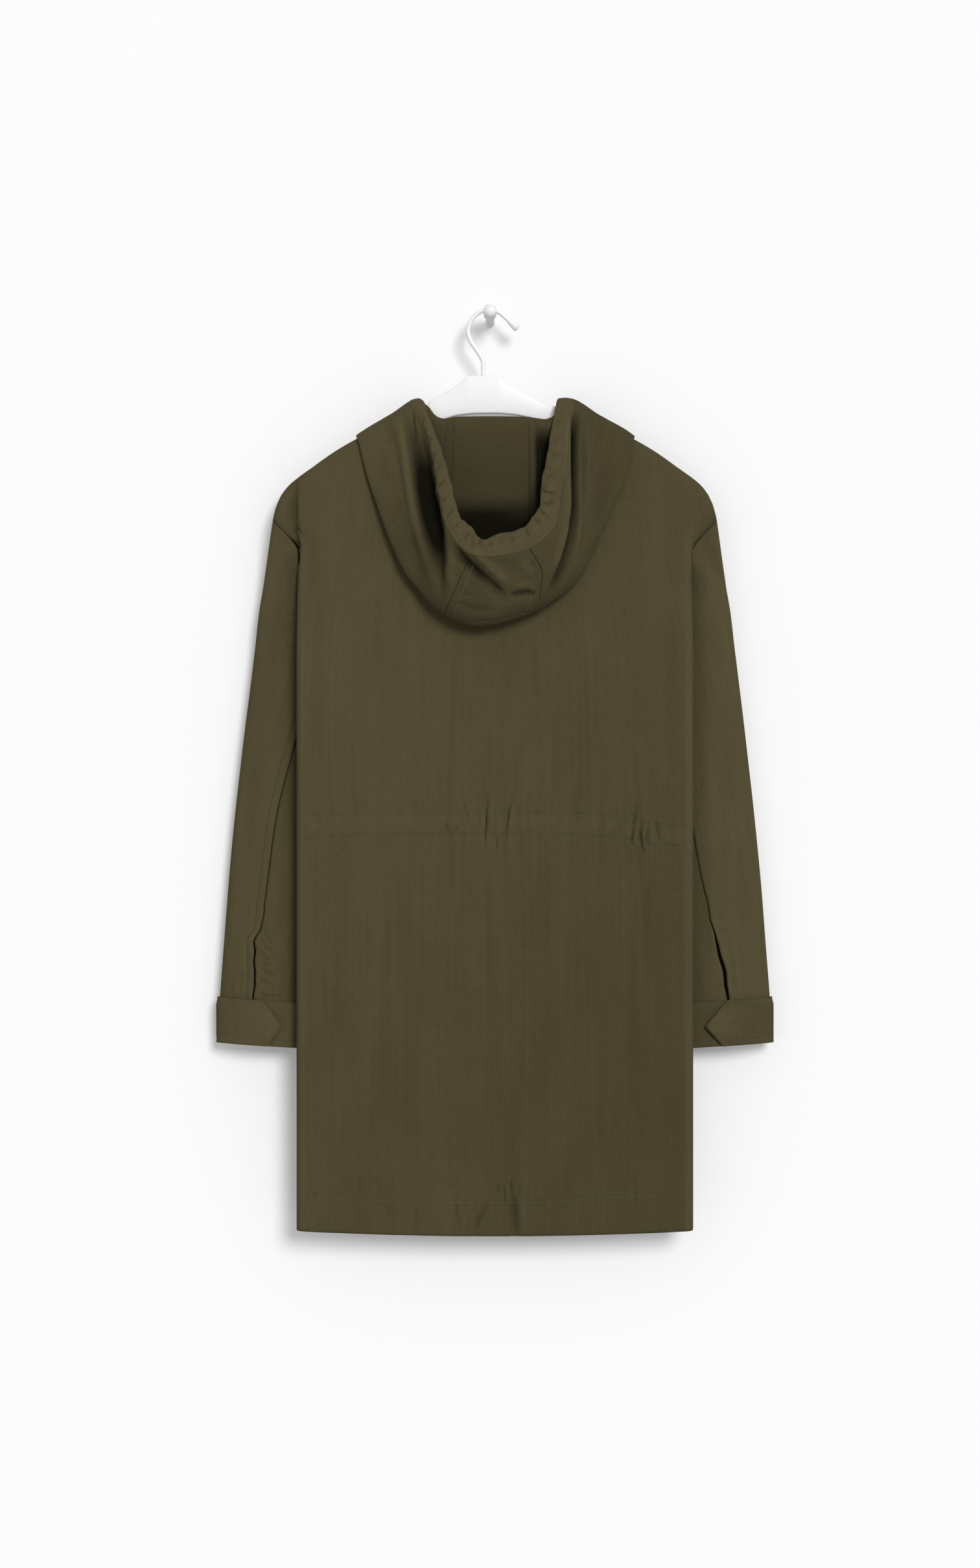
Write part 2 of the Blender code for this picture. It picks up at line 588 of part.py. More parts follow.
def tube_ring(section, angle, out=0.0):
    """Flattened ring, moved out: the angle starts at the outer fold and turns towards the viewer."""
    share = (1 - np.cos(angle)) / 2
    half_x = (section.outer_x - section.inner_x) / 2
    lean_x = section.half_y * np.cos(angle)
    lean_y = half_x * np.sin(angle)
    stretch = out / np.hypot(lean_x, lean_y)
    x = (section.outer_x + section.inner_x) / 2 + half_x * np.cos(angle) + stretch * lean_x
    y = section.mid_y - section.half_y * np.sin(angle) - stretch * lean_y
    z = section.outer_z + share * (section.inner_z - section.outer_z)
    return np.stack([x, y, z], axis=-1)


def ring_angles(start, end, count):
    """Angles between two places on a flattened ring, closer together at its two folds."""
    turn = np.linspace(-math.pi, 5 * math.pi, 1201)
    folded = turn - FOLD_CROWDING * np.sin(2 * turn)
    first, last = np.interp([start, end], folded, turn)
    return np.interp(np.linspace(first, last, count), turn, folded)


def armhole_angles(start, count):
    """Angles that step evenly along the armhole, once round from the sleeve seam."""
    seam_share = (1 - math.cos(start)) / 2
    place = (seam_share + np.linspace(ARMHOLE_SEAM_SHARE, 2.0 - ARMHOLE_SEAM_SHARE, count)) % 2.0
    angle = np.arccos(1 - 2 * np.minimum(place, 2.0 - place))
    return np.where(place <= 1.0, angle, 2 * math.pi - angle)


def sleeve_grid(side):
    """Sleeve rolled from one sheet, its edges meeting along the seam and parting at the vent."""
    rings = []
    for index, seam in enumerate(SLEEVE_SEAM):
        start = getattr(seam, side)
        half_gap = getattr(seam, side + "_open") / 2 / SLEEVE_HALF_WIDTH
        if index == 0:
            rings.append(armhole_ring(armhole_angles(start, SLEEVE_COLUMNS[side])))
        else:
            angle = ring_angles(start + half_gap, start + 2 * math.pi - half_gap, SLEEVE_COLUMNS[side])
            rings.append(tube_ring(SLEEVE[index - 1], angle))
    return smooth(np.arange(len(rings), dtype=float), np.array(rings), SLEEVE_AT)


def cuff_grid(side):
    """Cuff strip: starts under the lap, goes once round the wrist and ends in the pointed tab."""
    rows = []
    for tab in TAB_END:
        angle = ring_angles(CUFF_START, 2 * math.pi + getattr(tab, side), CUFF_COLUMNS)
        lap = (CUFF_CLOTH + 2 * GAP) * ease((angle - 2 * math.pi + CUFF_LAP_RUN / 2) / CUFF_LAP_RUN)
        row = tube_ring(CUFF_TOP, angle, CUFF_EASE + lap)
        row[:, 2] -= tab.height * CUFF_HEIGHT
        rows.append(row)
    return np.array(rows)


def hood_places(row):
    """Neck seam, outer fold, casing line and face edge of a hood row, each as x and reach."""
    neck_reach = {-1: front_neck_reach, 0: np.zeros_like, 1: back_neck_reach}[row.side]
    places = [(row.neck_x, float(neck_reach(np.float64(row.neck_x))))]
    for x, z in ((row.fold_x, row.fold_z), (row.line_x, row.line_z), (row.edge_x, row.edge_z)):
        places.append((x, row.side * float(reach_at(x, z))))
    return np.array(places)


def hood_controls(row, sign=1.0):
    """Control points of a hood row, as x, reach and height off the body."""
    neck, fold, line, _ = hood_places(row)
    run = unit(fold - neck)
    stations = (
        (neck - NECK_SEAM * run, 0.0),
        (neck - (NECK_SEAM + ROLL_BACK * row.roll) * run, (row.roll + ROLL_GAP) / 2),
        (neck + ROLL_OVER * row.roll * run, row.roll + ROLL_GAP),
        (neck + LOW_FROM * (fold - neck), row.low),
        (neck + LOW_TO * (fold - neck), row.low),
        (fold, row.fold),
        (fold + TOP_FROM * (line - fold), 0.25 * row.fold + 0.75 * row.high),
        (fold + TOP_MIDDLE * (line - fold), 0.55 * row.high + 0.45 * row.rim),
        (line, row.rim),
    )
    return np.array([(sign * place[0], place[1], height) for place, height in stations])


def casing_controls(row, sign=1.0):
    """Control points of the casing round the face edge: out along the top, round and back inside."""
    _, _, line, edge = hood_places(row)
    stations = (
        (line + unit(edge - line) * CASING_SEAM, row.rim),
        (line + 0.5 * (edge - line), row.rim + 0.35 * row.hem),
        (edge, row.rim - 0.25 * row.hem),
        (line + 0.55 * (edge - line), row.rim - row.hem),
        (line + 0.25 * (edge - line), row.rim - row.hem),
    )
    return np.array([(sign * place[0], place[1], height) for place, height in stations])


def off_body(controls):
    """Points at x, reach and height off the body, brought into the garment's frame."""
    x, reach, height = controls[..., 0], controls[..., 1], controls[..., 2]
    return body_surface(x, reach) + height[..., None] * body_normal(x, reach)


def loft(controls, at_rows, at_across):
    """Smooth surface through rows of control points, read at places along and across the rows."""
    rows = smooth(np.arange(len(controls), dtype=float), controls, at_rows)
    across = rows.transpose(1, 0, 2)
    return smooth(np.arange(len(across), dtype=float), across, at_across).transpose(1, 0, 2)


def hood_order():
    """Every hood row with its side's sign, from the left of the throat round to the right of it."""
    left = [(row, -1.0) for row in FRONT_ROWS + LEFT_ROWS]
    right = [(row, 1.0) for row in FRONT_ROWS + RIGHT_ROWS]
    return left + [(CREST_ROW, -1.0)] + right[::-1]


def hood_grid(at_rows):
    """Part of the hood, worked out at some of its rows."""
    controls = np.array([hood_controls(row, sign) for row, sign in hood_order()])
    return off_body(loft(controls, at_rows, HOOD_AT))


def hood_casing_grid():
    """Drawstring casing all round the face edge, gathered where it is free of the shoulders."""
    controls = np.array([casing_controls(row, sign) for row, sign in hood_order()])
    last = len(controls) - 1.0
    shoulder = SIDE_AT[SIDE_AT < CASING_FREE_FROM]
    free_at = np.linspace(CASING_FREE_FROM, last - CASING_FREE_FROM, CASING_COLUMNS)
    at_rows = np.concatenate([shoulder, free_at, last - shoulder[::-1]])
    rows = loft(controls, at_rows, np.arange(len(controls[0]), dtype=float))
    turn = 2 * math.pi * at_rows / last
    phase = CASING_WAVES * turn + 2 * math.pi * CASING_WAVE_DRIFT * np.sin(CASING_WAVE_DRIFTS * turn)
    free = ease((rows[:, 0, 2] - CASING_FREE_RIM) / CASING_FREE_RUN)
    wave = CASING_WAVE_DEPTH * free * np.sin(phase)
    rows[:, :, 2] += wave[:, None] * CASING_WAVE_SHARES
    rows[:, 2, 1] += CASING_EDGE_SWAY * wave
    return off_body(rows)


def to_frame(points):
    """Garment millimetres to metres from the peg's wall face."""
    return (points + np.array([GARMENT_X, 0.0, GARMENT_Z])) * MM


def make_material(name, colour, roughness):
    """Principled material with a plain colour and roughness."""
    material = bpy.data.materials.new(name)
    material.use_nodes = True
    shader = material.node_tree.nodes["Principled BSDF"]
    shader.inputs["Base Color"].default_value = colour
    shader.inputs["Roughness"].default_value = roughness
    shader.inputs["Metallic"].default_value = 0.0
    return material


def add_object(name, data, collection, material):
    """New object in the parka's collection, in its own material."""
    piece = bpy.data.objects.new(name, data)
    if material is not None:
        data.materials.append(material)
    collection.objects.link(piece)
    return piece


def add_cloth(name, points, collection, thickness=CLOTH):
    """Cloth wall through a grid of points in the garment's frame."""
    rows, columns = points.shape[:2]
    sheet = bmesh.new()
    bmesh.ops.create_grid(sheet, x_segments=columns - 1, y_segments=rows - 1, size=1.0)
    for vertex, place in zip(sheet.verts, to_frame(points).reshape(-1, 3)):
        vertex.co = place
    data = bpy.data.meshes.new(name)
    sheet.to_mesh(data)
    sheet.free()
    data.shade_smooth()
    piece = add_object(name, data, collection, make_material(name, OLIVE, 0.75))
    wall = piece.modifiers.new("Cloth wall", "SOLIDIFY")
    wall.thickness = thickness * MM
    wall.offset = 0.0
    return piece


def hanger_outline():
    """Outline of the hanger: crown, arms under the shoulders, round ends and the arch between them."""
    arm = np.linspace(HANGER_ARM_X, HANGER_END_X, HANGER_ARM_STEPS)
    top = ridge_z(arm) - HANGER_CLEAR
    low = top - HANGER_ARM_HEIGHT
    turn = np.linspace(0.0, math.pi, 5)[1:-1]
    end_x = HANGER_END_X + HANGER_END_ROUND * HANGER_ARM_HEIGHT * np.sin(turn)
    end_z = (top[-1] + low[-1]) / 2 + HANGER_ARM_HEIGHT / 2 * np.cos(turn)
    right_x = np.concatenate([arm, end_x, arm[::-1]])
    right_z = np.concatenate([top, end_z, low[::-1]])
    points = [(HANGER_STEM_X + place.x, place.z) for place in CROWN]
    points += zip(right_x, right_z)
    points += [(HANGER_STEM_X + place.x, place.z) for place in ARCH]
    points += zip(-right_x[::-1], right_z[::-1])
    return points


def add_hanger(collection):
    """Flat moulded hanger, extruded through its thickness."""
    outline = hanger_outline()
    curve = bpy.data.curves.new("hanger_body", "CURVE")
    curve.dimensions = "2D"
    curve.fill_mode = "BOTH"
    curve.extrude = HANGER_HALF_Y * MM
    spline = curve.splines.new("POLY")
    spline.points.add(len(outline) - 1)
    for point, (x, z) in zip(spline.points, outline):
        point.co = (x * MM, z * MM, 0.0, 1.0)
    spline.use_cyclic_u = True
    piece = add_object("hanger_body", curve, collection, make_material("hanger_body", WHITE, 0.35))
    piece.rotation_euler = (QUARTER, 0.0, 0.0)
    piece.location = (GARMENT_X * MM, RIDGE_Y * MM, GARMENT_Z * MM)


def add_hook(collection):
    """Coated wire hook that lies over the peg's neck, with a blunt tip."""
    at = np.linspace(0.0, len(HOOK) - 1.0, HOOK_STEPS)
    keys = np.arange(len(HOOK), dtype=float)
    x, z, radius = (smooth(keys, column(HOOK, name), at) for name in Bend._fields)
    curve = bpy.data.curves.new("hanger_hook", "CURVE")
    curve.dimensions = "3D"
    curve.bevel_depth = HOOK_R * MM
    curve.bevel_resolution = 2
    curve.use_fill_caps = True
    spline = curve.splines.new("POLY")
    spline.points.add(len(at) - 1)
    places = to_frame(np.stack([x, np.full_like(x, RIDGE_Y), z], axis=-1))
    for point, place, scale in zip(spline.points, places, radius):
        point.co = (*place, 1.0)
        point.radius = scale
    add_object("hanger_hook", curve, collection, make_material("hanger_hook", WHITE, 0.3))


def add_peg(collection, cutters):
    """Turned peg that leans up from the wall, cut flush with it."""
    lean = math.atan2(PEG_RISE, PEG_LENGTH)
    length = math.hypot(PEG_RISE, PEG_LENGTH)
    dome = np.linspace(0.0, QUARTER, 5)
    profile = [(PEG_HEAD_R * math.sin(t), length - PEG_DOME + PEG_DOME * math.cos(t)) for t in dome]
    profile.append((PEG_HEAD_R, PEG_NECK_LENGTH + PEG_SHOULDER_TO))
    profile.append((PEG_NECK_R, PEG_NECK_LENGTH + PEG_SHOULDER_FROM))
    profile += [(PEG_NECK_R, -PEG_ROOT), (0.0, -PEG_ROOT)]
    outline = bmesh.new()
    chain = [outline.verts.new((x * MM, 0.0, z * MM)) for x, z in profile]
    for first, second in zip(chain, chain[1:]):
        outline.edges.new((first, second))
    data = bpy.data.meshes.new("wall_peg")
    outline.to_mesh(data)
    outline.free()
    peg = add_object("wall_peg", data, collection, make_material("wall_peg", WHITE, 0.5))
    peg.rotation_euler = (QUARTER - lean, 0.0, 0.0)
    turned = peg.modifiers.new("Turned", "SCREW")
    turned.axis = "Z"
    turned.steps = PEG_STEPS
    turned.render_steps = PEG_STEPS
    turned.use_merge_vertices = True
    turned.merge_threshold = 0.00001
    wall = bmesh.new()
    bmesh.ops.create_cube(wall, size=WALL_BLOCK * MM)
    block = bpy.data.meshes.new("wall_cutter")
    wall.to_mesh(block)
    wall.free()
    cutter = add_object("wall_cutter", block, cutters, None)
    cutter.location = (0.0, WALL_BLOCK / 2 * MM, 0.0)
    cutter.hide_render = True
    cutter.display_type = "WIRE"
    flush = peg.modifiers.new("Flush with the wall", "BOOLEAN")
    flush.operation = "DIFFERENCE"
    flush.object = cutter


def main():
    """Clear the scene and build the parka, its hanger and the peg."""
    for item in list(bpy.data.objects):
        bpy.data.objects.remove(item, do_unlink=True)
    parka = bpy.data.collections.new("Parka on a hanger")
    cutters = bpy.data.collections.new("Cutters")
    bpy.context.scene.collection.children.link(parka)
    bpy.context.scene.collection.children.link(cutters)
    mirrored = np.array([-1.0, 1.0, 1.0])
    add_cloth("back", back_grid(), parka)
    add_cloth("front_right", front_grid(), parka)
    add_cloth("front_left", front_grid() * mirrored, parka)
    add_cloth("front_placket", placket_grid(), parka)
    for side, flip in (("left", mirrored), ("right", np.ones(3))):
        add_cloth("sleeve_" + side, sleeve_grid(side) * flip, parka)
        add_cloth("cuff_" + side, cuff_grid(side) * flip, parka, CUFF_CLOTH)
    seam = len(FRONT_ROWS) + len(LEFT_ROWS) - 1.0
    centre_at = np.linspace(seam + SEAM_SHARE, seam + 2.0 - SEAM_SHARE, CENTRE_COLUMNS)
    add_cloth("hood_left", hood_grid(SIDE_AT), parka)
    add_cloth("hood_centre", hood_grid(centre_at), parka)
    add_cloth("hood_right", hood_grid(2 * seam + 2.0 - SIDE_AT[::-1]), parka)
    add_cloth("hood_casing", hood_casing_grid(), parka)
    add_hanger(parka)
    add_hook(parka)
    add_peg(parka, cutters)


main()
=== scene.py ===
"""The looks of a hooded parka that hangs, back to the viewer, from a hanger on a wall peg.

Lengths are millimetres in the garment's own frame: x across, y into the wall and z up, with x zero on
the garment's centre line. They become metres, measured from the middle of the peg's flat wall face,
when a mesh is made. Left and right are the wearer's, and the wearer's left is at -x.
"""

from __future__ import annotations

import logging
import math
from dataclasses import dataclass
from enum import Enum
from typing import Sequence, TypeVar

import bpy
import numpy as np
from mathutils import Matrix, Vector
from numpy.typing import NDArray


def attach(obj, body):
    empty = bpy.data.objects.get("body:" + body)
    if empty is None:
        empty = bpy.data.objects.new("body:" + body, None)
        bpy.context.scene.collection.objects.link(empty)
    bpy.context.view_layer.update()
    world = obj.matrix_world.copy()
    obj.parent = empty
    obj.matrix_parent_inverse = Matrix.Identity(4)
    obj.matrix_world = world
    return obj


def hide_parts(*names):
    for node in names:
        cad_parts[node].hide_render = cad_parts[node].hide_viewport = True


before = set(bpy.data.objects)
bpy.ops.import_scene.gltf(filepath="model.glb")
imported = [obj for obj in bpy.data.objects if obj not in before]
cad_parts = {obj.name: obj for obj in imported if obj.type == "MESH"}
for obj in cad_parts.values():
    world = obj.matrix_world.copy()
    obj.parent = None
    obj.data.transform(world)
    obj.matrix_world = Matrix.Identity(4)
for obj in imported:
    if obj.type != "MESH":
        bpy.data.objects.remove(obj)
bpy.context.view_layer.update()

LOG = logging.getLogger("parka")
Array = NDArray[np.float64]
Path = Sequence[tuple[float, float]]
Row = TypeVar("Row")
Material = bpy.types.Material
Mesh = bpy.types.Mesh
Piece = bpy.types.Object
Socket = bpy.types.NodeSocket
Tree = bpy.types.NodeTree

MM = 0.001
QUARTER = math.pi / 2
TURN = 2 * math.pi
GARMENT_PLACE = np.array([5.25, 0.0, 8.0])
PEG_PLACE = np.zeros(3)
CLOTH = 1.2
GAP = 0.3
PUCKER_RISE = 0.17
GROOVE_DEPTH = 0.55
GROOVE_WIDTH = 2.4
CUT_FADE = 0.4
# How much closer the steps round a sleeve are at its two folds
CROWDING = 0.36
# Points along a stitched row of the back, along a short seam, and round a sleeve's ring
ROW_POINTS = 1400
SEAM_POINTS = 500
RING_POINTS = 1201
# Deepest and highest crease value that still paints shade or light into the cloth's colour
DEEPEST_SHADE = -18.4
BRIGHTEST_LIGHT = 3.0


class Side(Enum):
    """Side of the wearer, with the sign of its x."""

    LEFT = -1.0
    RIGHT = 1.0

    @property
    def word(self) -> str:
        """The side's name as it is used in the names of pieces."""
        return self.name.lower()

    @property
    def mirror(self) -> Array:
        """Factors that bring points of the wearer's right to this side."""
        return np.array([self.value, 1.0, 1.0])


class Slot(Enum):
    """Material slots of the part's record."""

    CLOTH = "shell_cloth"
    HANGER = "hanger_plastic"
    HOOK = "hook_coating"
    PEG = "peg_paint"


@dataclass(frozen=True)
class Outline:
    """Point of an outline, or of a stitched row."""

    x: float
    z: float


@dataclass(frozen=True)
class Edge:
    """Where the body panels end at a height, and how far the back's strip has turned behind."""

    z: float
    back: float
    front: float
    turn: float


@dataclass(frozen=True)
class Gather:
    """Ridge that the waist casing draws up."""

    x: float
    width: float
    rise: float
    up: float
    down: float


@dataclass(frozen=True)
class SoftFold:
    """Long soft fold of the back."""

    x: float
    width: float
    rise: float
    top: float
    low: float


@dataclass(frozen=True)
class Section:
    """Flattened ring of a sleeve or cuff."""

    outer_x: float
    outer_z: float
    inner_x: float
    inner_z: float
    mid_y: float
    half_y: float


@dataclass(frozen=True)
class SleeveSeam:
    """Angle of the seam round the sleeve, and the width that it stands open, on each side."""

    left: float
    right: float
    left_open: float
    right_open: float


@dataclass(frozen=True)
class TabEnd:
    """Angle past a full turn at which a cuff's strip ends, at a share of its height."""

    height: float
    left: float
    right: float


@dataclass(frozen=True)
class HoodRow:
    """Row of the hood from the neck seam out to the outer fold and back to the face edge.

    Side is -1 on the front, 0 on the shoulder ridge and 1 on the back. Roll, low, fold, high and rim
    are how far the cloth stands off the body there, hem is the casing's depth, and bow is how far the
    upper layer's middle is pushed out to the side.
    """

    side: int
    neck_x: float
    fold_x: float
    fold_z: float
    line_x: float
    line_z: float
    edge_x: float
    edge_z: float
    roll: float
    low: float
    fold: float
    high: float
    rim: float
    hem: float
    bow: float = 0.0


@dataclass(frozen=True)
class Bend:
    """Point of the hook's wire and its share of the wire's radius."""

    x: float
    z: float
    radius: float


def rows_of(kind: type[Row], *values: tuple[object, ...]) -> tuple[Row, ...]:
    """Table of one kind of row, each made from its values in order."""
    return tuple(kind(*row) for row in values)


SHOULDER = rows_of(
    Outline,
    (0, -103), (78, -103), (110, -118.5), (149, -138.3), (169, -149.6), (190, -163.5),
    (210, -178), (219, -185), (226, -192), (231, -199), (234.5, -206),
    (237.3, -213), (240.5, -226), (244.7, -254), (253, -310), (275, -480),
)
SIDE_EDGE = rows_of(
    Edge,
    (-1010, 272, 164.4, math.pi), (-420, 272, 164.4, math.pi), (-366, 272, 164.4, math.pi),
    (-350, 265, 168.5, math.pi), (-330, 251, 180.5, math.pi), (-315, 240, 190, math.pi),
    (-300, 229, 199, 2.95), (-285, 222, 208, 2.55), (-269, 219, 217, 1.90), (-255, 223, 225, 1.27),
    (-240, 231, 233, 0.70), (-226, 240, 240, 0.30), (-90, 240, 240, 0),
)
GATHERS = rows_of(
    Gather,
    (-112, 7, 1.6, 25, 35), (-46, 6, 2, 60, 70), (-30, 6, 1.6, 25, 35), (-10, 5, 2.6, 80, 20),
    (2, 5, 1.8, 15, 60), (15, 6, 2.5, 40, 60), (117, 6, 1.6, 25, 35), (133, 6, 1.8, 25, 45),
    (148, 5.5, 2.5, 55, 65), (160, 5.5, 2.5, 35, 115), (194, 5, 1.5, 25, 45),
)
SOFT_FOLDS = rows_of(
    SoftFold,
    (-150, 24, 1.8, -300, -800), (-80, 22, 2, -600, -990), (64, 20, 2.2, -380, -900),
    (95, 18, 1.8, -330, -760), (24, 16, 1.8, -820, -990),
)
SLEEVE_SECTIONS = rows_of(
    Section,
    (253, -310, 158, -398, -22, 11), (260.6, -366, 152, -446, -20.5, 12),
    (267.6, -422, 150, -498, -20, 12), (274.6, -478, 150, -546, -19.5, 12),
    (281, -534, 152, -592, -19.5, 12), (286.5, -590, 157, -637, -19.5, 12),
    (291.4, -646, 164, -680, -19.5, 12), (295.6, -702, 171, -718, -19.5, 12),
    (298.7, -744, 176, -752, -19.5, 12), (298.9, -753, 176.4, -761, -19.5, 12),
)
SLEEVE_SEAMS = rows_of(
    SleeveSeam,
    (1.80, 1.95, 0.4, 0.4), (1.74, 1.90, 0.4, 0.4), (1.66, 1.82, 0.4, 0.4), (1.50, 1.76, 0.4, 0.4),
    (1.34, 1.68, 0.4, 0.4), (1.23, 1.60, 0.4, 0.4), (1.20, 1.54, 0.4, 0.4), (1.18, 1.45, 0.5, 0.6),
    (1.14, 1.37, 1.8, 3.6), (1.15, 1.31, 1.4, 2.4), (1.15, 1.30, 0.8, 0.8),
)
TAB_ENDS = rows_of(
    TabEnd,
    (0, 1.36, 1.35), (0.53, 1.672, 1.724), (1, 1.43, 1.42),
)
RIDGE = 0
# Heights of the hood off the body, from roll to hem: on the fronts, then down the back
FRONT_HEIGHTS = (1.6, 2.2, 3.4, 4.6, 5.7, 1.6)
BACK_HEIGHTS = (
    (3, 2.8, 4.2, 6.5, 8.5, 2.6), (5, 3.2, 6, 11, 15, 3.5), (7, 4.5, 9, 19, 25, 4),
    (9, 4.8, 12, 27, 36, 4.5), (10, 5.2, 15, 34, 44, 4.5), (11, 5.6, 19, 42, 49, 4.5),
)
FRONT_ROWS = rows_of(
    HoodRow,
    (-1, 9, 26, -218, 20, -212, 12, -197, *FRONT_HEIGHTS),
    (-1, 38, 66, -214, 54, -198, 42, -184, *FRONT_HEIGHTS),
    (-1, 64, 106, -186, 84, -164, 68, -153, *FRONT_HEIGHTS),
    (-1, 75, 136, -158, 93, -131, 77.5, -123, *FRONT_HEIGHTS),
)
LEFT_ROWS = rows_of(
    HoodRow,
    (0, 77.4, 148.5, RIDGE, 91, RIDGE, 80.5, RIDGE, 1.6, 2.2, 3.4, 5.8, 8.6, 1.4),
    (1, 73.5, 145.5, -148, 87, -114, 75.5, -107.5, *BACK_HEIGHTS[0]),
    (1, 66, 138, -178, 76, -135, 67, -130, *BACK_HEIGHTS[1]),
    (1, 59, 126, -214, 69, -166, 56, -163, *BACK_HEIGHTS[2]),
    (1, 53, 110, -256, 64, -202, 47, -198, *BACK_HEIGHTS[3]),
    (1, 48, 87, -298, 55, -239, 40.5, -227, *BACK_HEIGHTS[4]),
    (1, 43, 54.5, -332, 27, -275, 24, -250, *BACK_HEIGHTS[5]),
)
RIGHT_ROWS = rows_of(
    HoodRow,
    (0, 77.4, 149.5, RIDGE, 82, RIDGE, 69.5, RIDGE, 1.6, 2.2, 3.4, 5.8, 8.2, 1.4),
    (1, 73.5, 148, -148, 86, -113, 66.5, -107.5, *BACK_HEIGHTS[0]),
    (1, 66, 142, -178, 80, -134, 61.5, -130, *BACK_HEIGHTS[1]),
    (1, 58, 128, -213, 77, -166, 56.5, -163, *BACK_HEIGHTS[2]),
    (1, 50, 110, -254, 71, -202, 50, -198, *BACK_HEIGHTS[3]),
    (1, 42, 82, -302, 65, -242, 48, -224, *BACK_HEIGHTS[4], 4),
    (1, 36, 39.5, -330, 37, -269, 26, -248, *BACK_HEIGHTS[5], 12),
)
# Middle of the centre strip, whose x is measured to the wearer's left
CREST_ROW = HoodRow(1, 3.5, 16, -344, 3, -277, 9, -259, 12, 6, 21, 45, 51, 4.5)
# Hanger's crown and the arch under it, x from the stem
CROWN = rows_of(
    Outline,
    (-66.4, -108.2), (-61.9, -106.4), (-59.4, -98.4), (-39.4, -87), (-24.4, -77),
    (-17.5, -69.7), (17.5, -69.7), (24.5, -77), (40.5, -87), (64.5, -99.8),
)
ARCH = rows_of(
    Outline,
    (-47.4, -119.5), (-27.4, -113.4), (-7.4, -111.4), (12.6, -111.2), (32.6, -112.6), (52.6, -116.5),
)
HOOK_BENDS = rows_of(
    Bend,
    (-12.6, -71, 1), (-12.6, -56, 1), (-15.5, -48.5, 1), (-20.9, -40.2, 1),
    (-27, -30.3, 1), (-29.2, -21.2, 1), (-27, -12.1, 1), (-20.9, -3.7, 1),
    (-13.2, 0.9, 1), (-5.2, 2.9, 1), (4.1, -0.4, 1), (11.8, -6.6, 1),
    (19.4, -13.9, 1.4), (23.5, -17.2, 1.75), (25.6, -18.6, 1.1),
)

# Stitched rows of the back: the waist casing's two and the hem's
WAIST_UPPER: Path = (
    (-211, -548.9), (-153, -546.7), (-109, -545.3), (-8, -545.2), (56, -545.7),
    (115, -548.4), (180, -557.9), (211, -559.2),
)
WAIST_LOWER: Path = (
    (-211, -575.2), (-153, -569.6), (-91, -568.4), (-8, -567.7), (68, -568.4),
    (127, -571.7), (145, -573.2), (177, -579.9), (211, -581.8),
)
HEM_ROW: Path = (
    (-211, -958.6), (-79.5, -962.8), (-8, -963.7), (39, -963.7), (92, -960), (211, -954),
)


def column(table: Sequence[object], name: str) -> Array:
    """One named column of a table as an array."""
    return np.array([getattr(row, name) for row in table], dtype=float)


def ease(t: Array) -> Array:
    """Smooth step from 0 to 1: three times t squared less twice t cubed."""
    t = np.clip(t, 0.0, 1.0)
    return t * t * (3 - 2 * t)


@dataclass(frozen=True)
class Ramp:
    """Smooth change from 0 at one place to 1 at another, on either side of it."""

    start: float
    end: float

    def at(self, place: Array) -> Array:
        """How far the change has come at each place."""
        return ease((place - self.start) / (self.end - self.start))


def unit(vectors: Array) -> Array:
    """Vectors brought to length one."""
    return vectors / np.linalg.norm(vectors, axis=-1, keepdims=True)


def curve(keys: Array, values: Array, at: Array, each: bool = False) -> Array:
    """Cubic curve through values at rising keys, which never swings past them between two keys.

    Args:
        keys: Rising places of the values.
        values: Values, one per key along the first axis.
        at: Places at which the curve is read.
        each: Whether the values' second axis goes with at, one curve per place.

    Returns:
        The curve's values at those places.
    """
    at = np.asarray(at, dtype=float)
    steps = np.diff(values, axis=0) / np.diff(keys).reshape((-1,) + (1,) * (values.ndim - 1))
    before, after = steps[:-1], steps[1:]
    rising = before * after > 0
    total = np.where(rising, before + after, 1.0)
    inner = np.where(rising, 2 * before * after / total, 0.0)
    slopes = np.concatenate([steps[:1], inner, steps[-1:]])
    left = np.clip(np.searchsorted(keys, at, side="right") - 1, 0, len(keys) - 2)
    span = keys[left + 1] - keys[left]
    t = np.clip((at - keys[left]) / span, 0.0, 1.0)
    own = (np.arange(len(at)),) if each else ()
    low, high = (left, *own), (left + 1, *own)
    shape = t.shape + (1,) * (values[low].ndim - t.ndim)
    t = t.reshape(shape)
    span = span.reshape(shape)
    near = values[low] * (1 + 2 * t) * (1 - t) ** 2 + slopes[low] * span * t * (1 - t) ** 2
    far = values[high] * t * t * (3 - 2 * t) + slopes[high] * span * t * t * (t - 1)
    return near + far


def spread(*stops: tuple[float, int]) -> Array:
    """Rising places, evenly spread between stops, each given with the number of steps to the next."""
    parts = [np.linspace(at, then, steps, endpoint=False) for (at, steps), (then, _) in zip(stops, stops[1:])]
    return np.concatenate([*parts, [stops[-1][0]]])


def row_z(path: Path, x: Array) -> Array:
    """Height at x of a smooth row that rises in x, level past its two ends."""
    corners = np.array(path, dtype=float)
    return curve(corners[:, 0], corners[:, 1], np.clip(x, corners[0, 0], corners[-1, 0]))


def running(points: Array) -> Array:
    """Length along a line of points, from 0 at the first."""
    return np.concatenate([[0.0], np.cumsum(np.linalg.norm(np.diff(points, axis=0), axis=1))])


def between(at: Array, keys: Array, points: Array) -> Array:
    """Points at places along a line, straight between the points at its keys."""
    return np.stack([np.interp(at, keys, points[:, k]) for k in range(3)], axis=-1)


def round_turn(count: int) -> Array:
    """Even angles once round, without the last one that would close the ring."""
    return np.linspace(0.0, TURN, count, endpoint=False)


